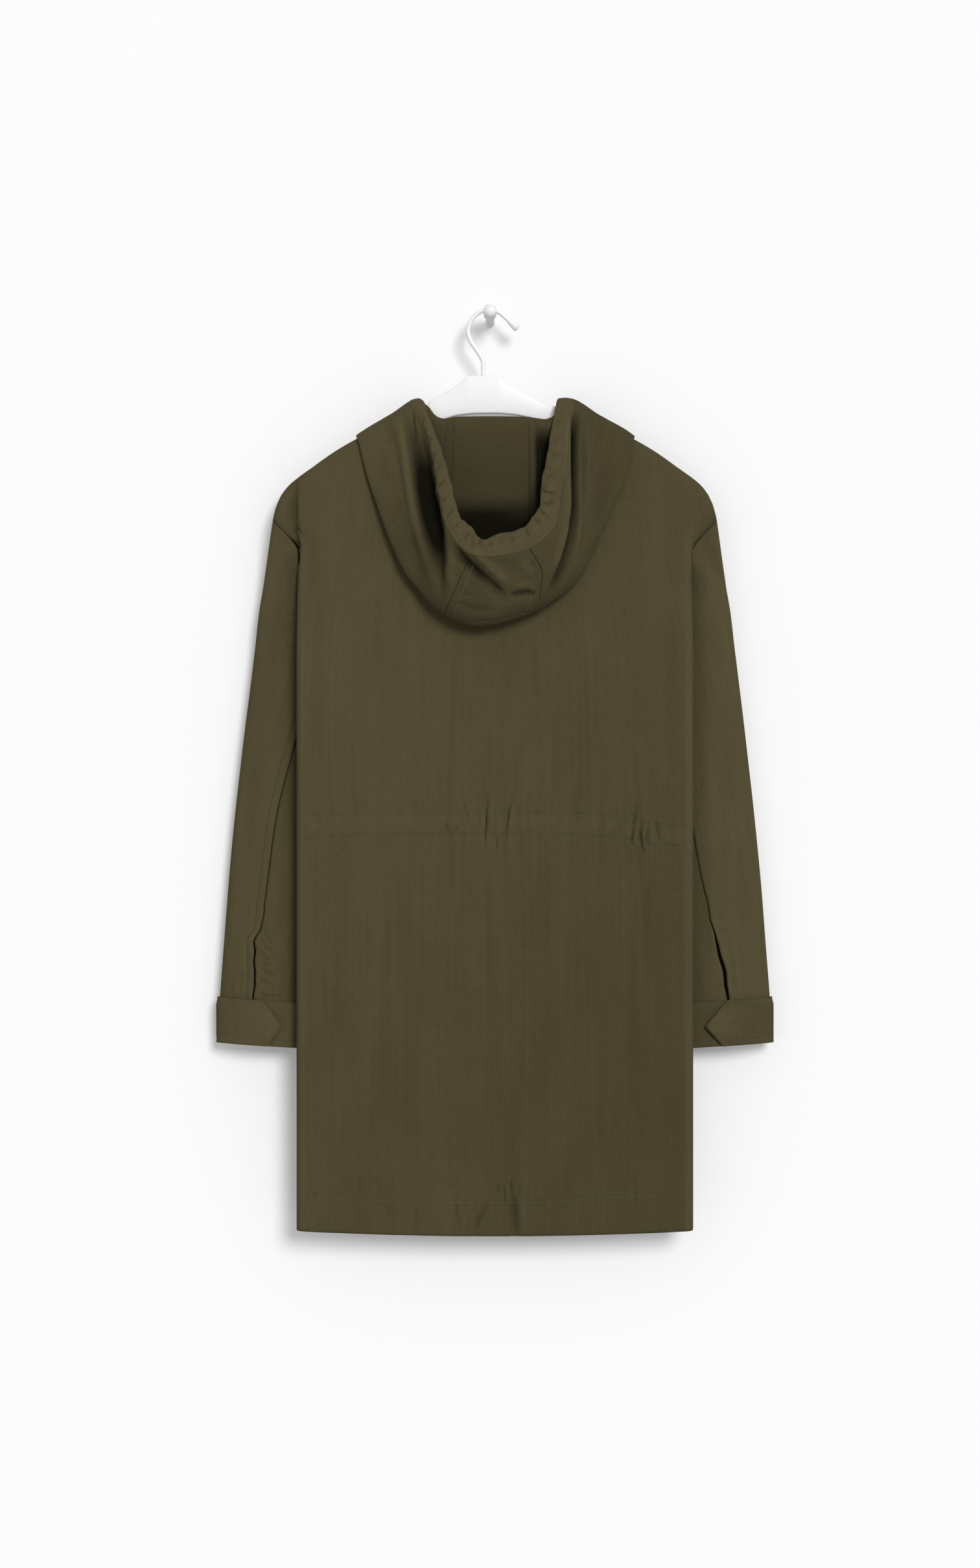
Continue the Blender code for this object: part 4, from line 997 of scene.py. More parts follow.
# Tucks and small folds drawn up in the casing by its cord
CASING_CREASES = cuts(
    (((-74, -116), (-86, -132)), 4, -2.7), (((-66, -138), (-78, -152)), 4, -3),
    (((-60, -152), (-71, -168)), 4, -3), (((-56, -168), (-68, -184)), 3.8, -2.7),
    (((-51, -184), (-65, -201)), 4.2, -3.2), (((-47, -203), (-60, -217)), 4, -3.2),
    (((-43, -219), (-56, -233)), 4, -3.2), (((-35, -233), (-46, -246)), 4, -3),
    (((-26, -243), (-34, -258)), 4, -3), (((-14, -250), (-18, -264)), 3.8, -2.4),
    (((-6, -253), (-4, -266)), 3.4, -2.2), (((6, -250), (4, -262)), 3.4, -1.6),
    (((18, -247), (17, -262)), 3.4, -1.9), (((31, -239), (36, -254)), 3.8, -2.4),
    (((40, -230), (50, -240)), 3.8, -2.7), (((47, -212), (56, -215), (64, -212)), 4.6, -5.4),
    (((52, -190), (66, -178)), 4, -2.7), (((56, -168), (70, -158)), 3.8, -2.4),
    (((58, -146), (73, -138)), 3.8, -2.4), (((62, -126), (75, -118)), 3.6, -2.2),
) + lines(
    (50, -202, 66, -198, 5, 3.2), (46, -222, 60, -224, 5, 2),
)
LEFT_SLEEVE_CREASES = cuts(
    (((-252, -664), (-248, -676), (-240, -694)), 4, -2.2),
    (((-256, -676), (-249, -690), (-239, -700)), 4.2, -2.4),
    (((-258, -690), (-249, -703), (-242, -707)), 4.2, -2.6),
    (((-257, -702), (-250, -709), (-243, -711)), 3.8, -2.2),
    (((-258, -708), (-247, -719), (-236, -725)), 4.2, -2.4),
    (((-259, -722), (-250, -729), (-240, -732)), 3.6, -1.6),
    (((-258, -740), (-246, -744), (-228, -742)), 4, -1.6),
    (((-264, -690), (-268, -708), (-267, -722)), 3.8, -1.4),
    (((-262, -716), (-266, -726), (-264, -740)), 3.4, -1.4),
) + lines(
    (-262, -675, -266, -700, 4, 1.2), (-275, -712, -276, -744, 2.8, -1),
    (-286, -726, -286.5, -745, 2.8, -0.9), (-233, -300, -246, -400, 14, -1),
    (-228, -340, -236, -430, 10, 1), (-262, -470, -270, -600, 12, -0.9),
    (-222, -500, -232, -560, 6, -0.9), (-228, -600, -238, -700, 9, -1),
    (-280, -600, -284, -690, 8, 0.8),
)
RIGHT_SLEEVE_CREASES = lines(
    (219, -480, 222, -500, 3.6, -1.2), (221, -503, 225, -522, 3.6, -1.3),
    (222, -526, 228, -542, 3.4, -1.2), (232, -486, 236, -540, 8, 1), (246, -420, 256, -560, 12, -1),
    (236, -300, 244, -400, 13, -0.9), (262, -560, 272, -690, 10, -0.9), (236, -640, 240, -700, 6, 0.9),
    (226, -600, 232, -720, 8, -1), (256, -700, 259, -742, 4, -0.9), (278, -690, 282, -744, 7, -0.8),
)
# Stitching inside the nape: station and rows off the side panel's edge, and each row's share of those
NAPE_SEAM: Path = ((1.7, 1.5), (2.0, 1.45), (3.0, 0.62), (4.0, 0.31))
NAPE_ROWS = (0.1, 1.0)
# Where the vents' edges are pulled aside: height, half length and how far out
PULLS = {
    Side.LEFT: ((-684, 15, 5.2), (-703, 17, 2.4), (-655, 12, -0.8), (-732, 12, -0.8)),
    Side.RIGHT: ((-660, 18, -1.6), (-716, 18, 1.8)),
}
# How much painted shade darkens each cuff, and how far its tab's point curls up
CUFF_SHADE = {Side.LEFT: 0.6, Side.RIGHT: 3.4}
TAB_CURL = {Side.LEFT: 1.6, Side.RIGHT: 3.2}
# Soft folds of the sides that face the wall, on the wearer's right; the left's are their mirror image
FRONT_CREASES = lines(
    (60, -300, 66, -520, 14, 1.6), (104, -420, 98, -640, 16, -1.5), (46, -620, 50, -900, 15, 1.5),
    (132, -560, 136, -860, 14, -1.4), (84, -760, 80, -985, 15, 1.4), (120, -240, 150, -330, 12, -1.3),
    (90, -160, 96, -260, 13, 1), (30, -930, 32, -985, 6, -0.9), (112, -936, 111, -985, 6, -0.9),
)
SLEEVE_WALL_CREASES = lines(
    (220, -330, 240, -470, 13, -1.1), (240, -430, 262, -560, 11, 1), (200, -480, 214, -620, 12, -1.1),
    (256, -600, 270, -720, 10, -1), (216, -640, 226, -745, 9, 0.9),
)


@dataclass
class BodyPanel(Panel):
    """Panel of the body: a down it, to 1 at the yoke and 2 at the hem, whose ends rise."""

    hem_dip: float = 0.0
    hem_rise: float = 0.0

    def hem_z(self, b: Array) -> Array:
        """Height of the hem."""
        return self.body.hem_z - self.hem_dip + self.hem_rise * b * b

    def reach(self, a: Array, b: Array, top_x: Array, start: Array, sign: float) -> Array:
        """Length of cloth from the ridge: shares of the yoke, then even heights down to the hem.

        Args:
            a: Places down the panel.
            b: Places across it.
            top_x: Distance from the centre line at the ridge.
            start: Reach of the panel's top edge.
            sign: 1 on the back and -1 on the front.

        Returns:
            The reach, positive down the back.
        """
        body = self.body
        yoke = sign * body.reach_at(top_x, np.full(b.shape, body.yoke_z))
        low_z = body.yoke_z + (a - 1) * (self.hem_z(b) - body.yoke_z)
        return np.where(a < 1, start + a * (yoke - start), sign * body.reach_at(top_x, low_z))


@dataclass
class BackPanel(BodyPanel):
    """Back of the body, with b from -1 to 1 across it."""

    hem_dip: float = 2.6
    hem_rise: float = 9.0
    casing_puff: float = 0.9
    # Painted highlight on the side folds as they turn away, and painted shade towards the right and the hem
    edge_highlight: float = 3.0
    highlight_side: Ramp = Ramp(202.0, 208.0)
    highlight_down: Ramp = Ramp(-215.0, -265.0)
    dark_right: float = 2.0
    shade_across: Ramp = Ramp(-200.0, 200.0)
    shade_low: float = 2.3
    shade_down: Ramp = Ramp(-440.0, -840.0)
    shown_past: float = 6.0
    shown_run: float = 12.0
    hang: float = 0.45
    hang_down: Ramp = Ramp(-150.0, -210.0)
    pucker: float = 1.3
    pucker_reach: float = 11.0
    fold_end: Ramp = Ramp(-285.0, -255.0)

    def base(self, a: Array, b: Array) -> Array:
        """The body's back at those places."""
        top_x = np.abs(b) * self.body.shoulder_w
        start = self.body.back_neck_reach(top_x)
        return self.body.back_point(b, self.reach(a, b, top_x, start, 1.0))

    def shade(self, a: Array, b: Array, points: Array) -> tuple[Array, Array]:
        """Painted shade towards the right and the hem, and a painted highlight along the side folds as they
        turn.
        """
        x, _, z = points.T
        edge_highlight = self.edge_highlight * self.highlight_side.at(np.abs(x)) * self.highlight_down.at(z)
        shade_depth = self.dark_right * self.shade_across.at(x) + self.shade_low * self.shade_down.at(z)
        return edge_highlight - shade_depth, np.zeros(a.shape)

    def rise(self, a: Array, b: Array, points: Array) -> Array:
        """Creases, uneven hang and the stitched rows' grooves, on the part that shows."""
        body = self.body
        z = points[:, 2]
        x = b * body.edge("back", z)
        shown = ease((body.fold_x + self.shown_past - np.abs(x)) / self.shown_run)
        total = creased(BACK_CREASES + BACK_CUTS, x, z)
        total += self.hang * uneven(x, z, 0.4) * self.hang_down.at(z)
        for row, start in ((WAIST_UPPER, 0.3), (WAIST_LOWER, 1.9), (HEM_ROW, 4.0)):
            total += self.pucker * puckered(x, z - row_z(row, x), self.pucker_reach, start)
        top, low = row_z(WAIST_UPPER, x), row_z(WAIST_LOWER, x)
        share = np.clip((z - low) / (top - low), 0.0, 1.0)
        total = shown * (total + self.casing_puff * np.sin(math.pi * share))
        return total + SHOULDER_FOLD.rise_at(x, z) * self.fold_end.at(z)

    def at(self, x: Array, z: Array) -> tuple[Array, Array]:
        """Parameters of places below the yoke, given by x and height."""
        b = x / self.body.edge("back", z)
        return 1 + (z - self.body.yoke_z) / (self.hem_z(b) - self.body.yoke_z), b

    def build(self, material: Material) -> Piece:
        """The back's cloth, closest worked at the waist casing and the hem."""
        a = spread((0.0, 32), (1.0, 12), (1.170, 46), (1.305, 32), (1.880, 18), (2.0, 0))
        widest = max(row.back for row in SIDE_EDGE)
        x = spread((-widest, 24), (-213.0, 14), (-195.0, 48), (-56.0, 100), (26.0, 30), (110.0, 84),
                   (180.0, 7), (195.0, 14), (213.0, 12), (widest, 0))
        b = x / widest
        return add_piece(self.mesh(a, b), material, ["back"])


@dataclass
class FrontPanel(BodyPanel):
    """Front of the body, with b from the closing to the armhole and side seam."""

    side: Side = Side.RIGHT
    hem_dip: float = 1.0
    hem_rise: float = 7.0
    past_closing: Ramp = Ramp(26.0, 46.0)
    inside_strip: Ramp = Ramp(150.0, 126.0)
    below_hood: Ramp = Ramp(-226.0, -256.0)
    hang: float = 0.4
    hem_row_z: float = -962.0
    hem_slope: float = 0.02
    hem_reach: float = 10.0
    hem_row: float = 1.938
    neck_columns: int = 34
    shoulder_columns: int = 50

    def base(self, a: Array, b: Array) -> Array:
        """The body's front at those places, mirrored for the wearer's left."""
        body = self.body
        top_x = body.front_edge_x + b * (body.shoulder_w - body.front_edge_x)
        reach = self.reach(a, b, top_x, body.front_neck_reach(top_x), -1.0)
        return body.front_point(b, reach) * self.side.mirror

    def rise(self, a: Array, b: Array, points: Array) -> Array:
        """Soft folds like the back's, held flat at the closing, the hood and the side strip."""
        x, z = np.abs(points[:, 0]), points[:, 2]
        free = self.past_closing.at(x) * self.inside_strip.at(x) * self.below_hood.at(z)
        off = z - self.hem_row_z - self.hem_slope * x
        hem = puckered(x, off, self.hem_reach, 2.0 + self.side.value)
        folds = creased(FRONT_CREASES, x, z) + self.hang * uneven(x, z, 3.0 * self.side.value)
        return free * folds + hem

    def build(self, material: Material) -> Piece:
        """The front's cloth."""
        body = self.body
        turn = np.linspace(math.asin(body.front_edge_x / body.neck_half), QUARTER, self.neck_columns)
        shoulder = np.linspace(body.neck_half, body.shoulder_w, self.shoulder_columns)
        top_x = np.concatenate([body.neck_half * np.sin(turn[:-1]), shoulder])
        b = (top_x - body.front_edge_x) / (body.shoulder_w - body.front_edge_x)
        a = spread((0.0, 46), (1.0, 56), (1.9, 22), (2.0, 0))
        return add_piece(self.mesh(a, b), material, ["front_" + self.side.word])


@dataclass
class Placket(Panel):
    """Strip over the closing: the fronts' own surface, moved out by a layer of cloth."""

    half: float = 24.0
    top_z: float = -222.0
    hem_clear: float = 1.0
    row_share: float = 0.78
    pucker: float = 0.6
    pucker_reach: float = 5.0
    rows: int = 180
    columns: int = 25

    def base(self, a: Array, b: Array) -> Array:
        """The fronts' surface at a share down the strip and a share across it, from -1 to 1."""
        body = self.body
        x = self.half * np.abs(b)
        u = (x - body.front_edge_x) / (body.shoulder_w - body.front_edge_x)
        z = self.top_z + (body.hem_z + self.hem_clear - self.top_z) * a
        point = body.front_point(u, -body.reach_at(x, z))
        point[:, 0] = self.half * b
        point[:, 1] += CLOTH + 2 * GAP
        return point

    def rise(self, a: Array, b: Array, points: Array) -> Array:
        """Grooves of its two stitched rows."""
        off = np.abs(points[:, 0]) - self.row_share * self.half
        return self.pucker * puckered(points[:, 2], off, self.pucker_reach, 1.0)

    def build(self, material: Material) -> Piece:
        """The placket's cloth."""
        mesh = self.mesh(np.linspace(0.0, 1.0, self.rows), np.linspace(-1.0, 1.0, self.columns))
        return add_piece(mesh, material, ["front_placket"])


@dataclass
class Sleeve(Panel):
    """Sleeve rolled from one sheet: a down it by sections, b round it from seam edge to seam edge."""

    side: Side = Side.RIGHT
    round_about: float = 255.0
    half_width: float = 58.0
    armpit_z: float = -366.0
    shoulder_end_z: float = -223.8
    stand: float = 0.2
    stand_behind: float = 0.4
    lap_share: float = 1.0012
    end_share: float = 0.12
    seam_share: float = 0.0012
    pull_run: float = 24.0
    stitch_off: float = 3.2
    edge_points: int = 80
    edge_step: float = 0.005
    reach_step: float = 0.4
    end_lean: float = 0.999
    behind: Ramp = Ramp(0.3, 0.45)
    # Painted shadow of the body on the sleeve beside it
    shade_depth: float = 5.0
    beside_body: Ramp = Ramp(240.0, 214.0)
    below_shoulder: Ramp = Ramp(-252.0, -282.0)
    shown: Ramp = Ramp(-17.0, -23.0)
    hang: float = 0.45
    lap_rise: float = 0.9
    lap_width: float = 13.0
    under_drop: float = 0.5
    under_width: float = 6.0
    fell_off: float = 2.2
    fell_pucker: float = 0.6
    fell_reach: float = 7.0
    row_pucker: float = 0.8
    row_reach: float = 6.0
    below_top: Ramp = Ramp(0.15, 0.95)
    above_cuff: Ramp = Ramp(10.3, 9.5)

    def __post_init__(self) -> None:
        """Work out once where the sleeve is sewn on, along both panels' armhole edges."""
        body = self.body
        z = np.linspace(self.shoulder_end_z, self.armpit_z, self.edge_points)
        whole = np.ones_like(z)
        self.armhole: list[tuple[Array, Array]] = []
        for point, sign in ((body.back_point, 1.0), (body.front_point, -1.0)):
            reach = sign * body.reach_at(body.shoulder_w * whole, z)
            lapped = self.lap_share * whole
            edge = point(lapped, reach)
            across = edge - point(lapped - self.edge_step, reach)
            down = point(lapped, reach + self.reach_step) - point(lapped, reach - self.reach_step)
            down = sign * down
            self.armhole.append((edge, unit(sign * np.cross(down, across))))

    def armhole_ring(self, angle: Array) -> Array:
        """Sleeve's top edge round the armhole, against the two panels' edges."""
        share = (1 - np.cos(angle)) / 2
        ends = ease(1 - share / self.end_share) + ease(1 - (1 - share) / self.end_share)
        behind = self.behind.at(share) * ease((1.0 - share) / self.end_share)
        stand = self.stand + self.stand_behind * behind
        rings = []
        for (edge, out), (_, other) in zip(self.armhole, self.armhole[::-1]):
            length = running(edge)
            own, lean, far = (between(share * length[-1], length, line) for line in (edge, out, other))
            rings.append(own + stand[:, None] * unit(lean + self.end_lean * ends[:, None] * far))
        return np.where(np.sin(angle)[:, None] >= 0, rings[0], rings[1])

    @staticmethod
    def tube_ring(section: Section, angle: Array, out: float | Array = 0.0) -> Array:
        """Flattened ring, moved out: the angle starts at the outer fold and turns towards the viewer."""
        share = (1 - np.cos(angle)) / 2
        half_x = (section.outer_x - section.inner_x) / 2
        lean_x = section.half_y * np.cos(angle)
        lean_y = half_x * np.sin(angle)
        stretch = out / np.hypot(lean_x, lean_y)
        x = (section.outer_x + section.inner_x) / 2 + half_x * np.cos(angle) + stretch * lean_x
        y = section.mid_y - section.half_y * np.sin(angle) - stretch * lean_y
        z = section.outer_z + share * (section.inner_z - section.outer_z)
        return np.stack([x, y, z], axis=-1)

    @staticmethod
    def ring_angle(start: float | Array, end: float | Array, share: Array) -> Array:
        """Angle at a share of the way between two places on a ring, steps closer at its two folds."""
        turn = np.linspace(-math.pi, 5 * math.pi, RING_POINTS)
        folded = turn - CROWDING * np.sin(2 * turn)
        first, last = np.interp(start, folded, turn), np.interp(end, folded, turn)
        return np.interp(first + share * (last - first), turn, folded)

    def base(self, a: Array, b: Array) -> Array:
        """Rings at each section, joined by smooth curves down the sleeve."""
        rings = []
        for index, seam in enumerate(SLEEVE_SEAMS):
            start = getattr(seam, self.side.word)
            half_gap = getattr(seam, self.side.word + "_open") / 2 / self.half_width
            if index == 0:
                begin = (1 - math.cos(start)) / 2
                place = (begin + self.seam_share + b * (2.0 - 2 * self.seam_share)) % 2.0
                angle = np.arccos(1 - 2 * np.minimum(place, 2.0 - place))
                angle = np.where(place <= 1.0, angle, TURN - angle)
                rings.append(self.armhole_ring(angle))
            else:
                angle = self.ring_angle(start + half_gap, start + TURN - half_gap, b)
                rings.append(self.tube_ring(SLEEVE_SECTIONS[index - 1], angle))
        keys = np.arange(len(rings), dtype=float)
        points = curve(keys, np.array(rings), np.clip(a, 0.0, keys[-1]), each=True)
        near = ease(1 - np.minimum(b, 1 - b) * self.round_about / self.pull_run)
        for z, width, pull in PULLS[self.side]:
            points[:, 0] += pull * near * ease(1 - np.abs(points[:, 2] - z) / width)
        return points * self.side.mirror

    def shade(self, a: Array, b: Array, points: Array) -> tuple[Array, Array]:
        """Painted shadow of the body on the shown side, beside the body where the sleeve lies behind it."""
        x, y, z = points.T
        beside = self.beside_body.at(np.abs(x)) * self.below_shoulder.at(z) * self.shown.at(y)
        return -self.shade_depth * beside, np.zeros(a.shape)

    def rise(self, a: Array, b: Array, points: Array) -> Array:
        """Creases of the shown and the hidden side, and the lapped edge of the seam."""
        x, y, z = points.T
        shown = self.shown.at(y)
        table = LEFT_SLEEVE_CREASES if self.side is Side.LEFT else RIGHT_SLEEVE_CREASES
        total = shown * creased(table, x, z) + (1 - shown) * creased(SLEEVE_WALL_CREASES, np.abs(x), z)
        total += self.hang * uneven(x, z, 1.0 + self.side.value)
        over = (1 - b) * self.round_about
        under = b * self.round_about
        lap = self.lap_rise * ease(1 - over / self.lap_width)
        total += lap - self.under_drop * ease(1 - under / self.under_width)
        fell = self.fell_pucker * puckered(z, over - self.fell_off, self.fell_reach, 1.0)
        total += fell + self.row_pucker * puckered(z, over - self.stitch_off, self.row_reach, 2.0)
        return total * self.below_top.at(a) * self.above_cuff.at(a)

    def build(self, material: Material) -> Piece:
        """The sleeve's cloth, closest worked beside the seam's lapped edge."""
        a = spread((0.0, 22), (1.0, 48), (6.0, 92), (9.0, 5), (10.0, 0))
        b = spread((0.0, 30), (0.13, 66), (0.92, 20), (1.0, 0))
        return add_piece(self.mesh(a, b), material, ["sleeve_" + self.side.word])


@dataclass
class Cuff(Panel):
    """Cuff strip: starts under the lap, goes once round the wrist and ends in the pointed tab."""

    side: Side = Side.RIGHT
    thickness: float = 2.0
    height: float = 49.4
    start: float = 0.85
    lap_run: float = 1.1
    down_from: float = 0.05
    down_run: float = 0.25
    down_share: float = 0.2
    length: float = 320.0
    top_row: float = 3.2
    low_row: float = 4.4
    end_row: float = 8.5
    row_pucker: float = 0.5
    row_reach: float = 5.0
    low_pucker: float = 0.6
    low_reach: float = 6.0
    hang: float = 0.25
    curl_run: float = 26.0
    curl_share: float = 0.4
    rows: int = 34
    top: Section = Section(298.9, -744.6, 176.0, -752.6, -19.5, 12.0)

    def base(self, a: Array, b: Array) -> Array:
        """Flattened ring at a share down the cuff, with the lapped end moved out over its start.

        The top edge stays down on the sleeve up to the start that is lapped over.
        """
        end = np.interp(a, column(TAB_ENDS, "height"), column(TAB_ENDS, self.side.word))
        angle = Sleeve.ring_angle(self.start, TURN + end, b)
        lap = (self.thickness + 2 * GAP) * ease((angle - TURN + self.lap_run / 2) / self.lap_run)
        before = ease((TURN + self.start - self.down_from - angle) / self.down_run)
        lap *= 1 - before * ease(1 - a / self.down_share)
        point = Sleeve.tube_ring(self.top, angle, CLOTH / 2 + 2 * GAP + self.thickness / 2 + lap)
        point[:, 2] -= np.clip(a, 0.0, 1.0) * self.height
        return point * self.side.mirror

    def shade(self, a: Array, b: Array, points: Array) -> tuple[Array, Array]:
        """Painted shade that darkens the cuff, most of all on the right."""
        return np.full(a.shape, -CUFF_SHADE[self.side]), np.zeros(a.shape)

    def rise(self, a: Array, b: Array, points: Array) -> Array:
        """Grooves of its stitched rows, and the tab's point that curls off the strip below."""
        x, z = points[:, 0], points[:, 2]
        down = a * self.height
        from_end = (1 - b) * self.length
        total = self.row_pucker * puckered(x, down - self.top_row, self.row_reach, 1.0)
        total += self.low_pucker * puckered(x, down - self.height + self.low_row, self.low_reach, 2.0)
        total += self.row_pucker * puckered(z, from_end - self.end_row, self.row_reach, 0.5)
        edge = ease(1 - from_end / self.curl_run)
        edge = edge * ease(a / self.curl_share) * ease((1 - a) / self.curl_share)
        return total + self.hang * uneven(x, z, 5.0) + TAB_CURL[self.side] * edge

    def build(self, material: Material) -> Piece:
        """The cuff's cloth."""
        b = spread((0.0, 110), (0.8, 56), (1.0, 0))
        mesh = self.mesh(np.linspace(0.0, 1.0, self.rows), b)
        return add_piece(mesh, material, ["cuff_" + self.side.word])


def hood_order() -> list[tuple[HoodRow, float]]:
    """Every hood row with its side's sign, from the left of the throat round to the right of it."""
    left = [(row, -1.0) for row in FRONT_ROWS + LEFT_ROWS]
    right = [(row, 1.0) for row in FRONT_ROWS + RIGHT_ROWS]
    return left + [(CREST_ROW, -1.0)] + right[::-1]


@dataclass
class HoodPanel(Panel):
    """Piece of the hood: a by rows round the neck, b by stations from the neck seam to the casing's end.

    Stations 0 to 5 lead from the neck seam to the outer fold, 5 to 8 back up to the casing's seam, and 8
    to 12 along the casing, round the face edge and back inside.
    """

    step_a: float = 0.01
    step_b: float = 0.01
    neck_seam: float = 1.7
    roll_back: float = 0.6
    roll_over: float = 0.4
    roll_gap: float = 0.6
    low_from: float = 0.30
    low_to: float = 0.78
    top_from: float = 0.22
    top_middle: float = 0.62
    top_bow: float = 0.7
    top_lift: float = 0.75
    middle_lift: float = 0.45
    hem_swell: float = 0.35
    edge_drop: float = 0.25
    inside_from: float = 0.55
    inside_end: float = 0.25
    fold_station: float = 5.0
    seam_station: float = 8.0
    clearance: float = 2.4
    waves: float = 23.0
    wave_depth: float = 1.5
    fine_depth: float = 0.6
    edge_sway: float = 1.4
    free_rim: float = 9.0
    free_run: float = 22.0
    rim_station: int = 8
    edge_station: int = 10
    wave_drift: float = 0.55
    wave_turns: int = 3
    wave_shares: tuple[float, ...] = (0.7, 0.5, 0.5, 0.1)
    fine_rate: float = 2.63
    fine_drift: float = 1.4
    fine_turns: int = 5
    fine_shares: tuple[float, ...] = (1.0, 0.7, 0.3, 0.1)
    fine_sway: float = 1.2
    hang: float = 0.6
    hang_below: float = 0.35
    groove: float = 0.35
    groove_off: float = 0.25
    groove_width: float = 0.16
    upper_from: Ramp = Ramp(5.15, 5.85)
    upper_to: Ramp = Ramp(8.9, 8.0)
    lower_from: Ramp = Ramp(1.6, 2.4)
    lower_to: Ramp = Ramp(4.4, 3.9)
    casing_from: Ramp = Ramp(8.05, 8.55)
    casing_to: Ramp = Ramp(10.1, 9.6)
    # Painted shade: the upper layer darker towards the right, the lining behind the face edge darker down the
    # nape and at the right
    shade_depth: float = 0.6
    dark_right: float = 4.4
    shade_across: Ramp = Ramp(-95.0, -35.0)
    shade_to: Ramp = Ramp(8.3, 7.8)
    nape_shade: float = 5.0
    below_shade: float = 3.0
    below_down: Ramp = Ramp(-120.0, -190.0)
    pouch_shade: float = 11.5
    pouch_down: Ramp = Ramp(-205.0, -227.0)
    edge_shade: float = 18.0
    edge_across: Ramp = Ramp(38.0, 47.0)
    edge_down: Ramp = Ramp(-116.0, -146.0)
    inside_to: Ramp = Ramp(5.5, 4.5)

    def __post_init__(self) -> None:
        """Work out the rows' control points once."""
        self.controls = np.array([self.stations(row, sign) for row, sign in hood_order()])
        self.lows = np.array([row.low for row, _ in hood_order()])

    def places(self, row: HoodRow) -> Array:
        """Neck seam, outer fold, casing line and face edge of a hood row, each as x and reach."""
        body = self.body
        reaches = {-1: body.front_neck_reach, 0: np.zeros_like, 1: body.back_neck_reach}
        found = [(row.neck_x, float(reaches[row.side](np.float64(row.neck_x))))]
        for x, z in ((row.fold_x, row.fold_z), (row.line_x, row.line_z), (row.edge_x, row.edge_z)):
            found.append((x, row.side * float(body.reach_at(np.float64(x), np.float64(z)))))
        return np.array(found)

    def stations(self, row: HoodRow, sign: float) -> Array:
        """Control points of a row, as x, reach and height off the body."""
        neck, fold, line, edge = self.places(row)
        run = unit(fold - neck)
        bow = np.array([row.bow, 0.0])
        table = (
            (neck - self.neck_seam * run, 0.0),
            (neck - (self.neck_seam + self.roll_back * row.roll) * run, (row.roll + self.roll_gap) / 2),
            (neck + self.roll_over * row.roll * run, row.roll + self.roll_gap),
            (neck + self.low_from * (fold - neck), row.low),
            (neck + self.low_to * (fold - neck), row.low),
            (fold, row.fold),
            (fold + self.top_from * (line - fold) + self.top_bow * bow,
             (1 - self.top_lift) * row.fold + self.top_lift * row.high),
            (fold + self.top_middle * (line - fold) + bow,
             (1 - self.middle_lift) * row.high + self.middle_lift * row.rim),
            (line, row.rim),
            (line + 0.5 * (edge - line), row.rim + self.hem_swell * row.hem),
            (edge, row.rim - self.edge_drop * row.hem),
            (line + self.inside_from * (edge - line), row.rim - row.hem),
            (line + self.inside_end * (edge - line), row.rim - row.hem),
        )
        return np.array([(sign * place[0], place[1], height) for place, height in table])

    def loft(self, a: Array, b: Array) -> Array:
        """Smooth surface through the rows' control points, as x, reach and height off the body.

        The casing is rippled where it is free of the shoulders: one wave of slowly changing length and a
        finer one that is out of step with it.
        """
        keys = np.arange(len(self.controls), dtype=float)
        rows = curve(keys, self.controls, a)
        turn = TURN * a / keys[-1]
        phase = self.waves * turn + TURN * self.wave_drift * np.sin(self.wave_turns * turn)
        free = ease((rows[:, self.rim_station, 2] - self.free_rim) / self.free_run)
        wave = self.wave_depth * free * np.sin(phase)
        fine = np.sin(self.fine_rate * phase + self.fine_drift * np.sin(self.fine_turns * turn))
        fine = self.fine_depth * free * fine
        casing = rows[:, self.rim_station + 1 :, 2]
        casing += wave[:, None] * np.array(self.wave_shares)
        casing += fine[:, None] * np.array(self.fine_shares)
        rows[:, self.edge_station, 1] += self.edge_sway * wave + self.fine_sway * fine
        across = rows.transpose(1, 0, 2)
        return curve(np.arange(len(across), dtype=float), across, b, each=True)

    def off_body(self, lofted: Array) -> Array:
        """Points at x, reach and height off the body, brought into the garment's frame."""
        x, reach, height = lofted.T
        return self.body.surface(x, reach) + height[:, None] * self.body.normal(x, reach)

    def base(self, a: Array, b: Array) -> Array:
        """The hood's plain form."""
        return self.off_body(self.loft(a, b))

    def rise(self, a: Array, b: Array, points: Array) -> Array:
        """Folds of the upper layer, never down on to the layer below, and tucks of the casing."""
        x, _, z = points.T
        upper = self.upper_from.at(b) * self.upper_to.at(b)
        folds = creased(HOOD_CREASES, x, z) + creased(HOOD_PUCKERS, x, z)
        total = upper * (folds + self.hang * uneven(x, z, 2.0))
        lower = self.lower_to.at(b) * self.lower_from.at(b)
        total += self.hang_below * lower * uneven(x, z, 4.0)
        height = self.loft(a, b)[:, 2]
        low = np.interp(a, np.arange(len(self.lows)), self.lows)
        room = np.maximum(height - low - self.clearance, 0.0)
        total = np.where(b > self.fold_station, np.maximum(total, -room), total)
        casing = self.casing_to.at(b) * self.casing_from.at(b)
        groove = ease(1 - np.abs(b - self.seam_station - self.groove_off) / self.groove_width)
        return total + casing * creased(CASING_CREASES, x, z) - self.groove * groove

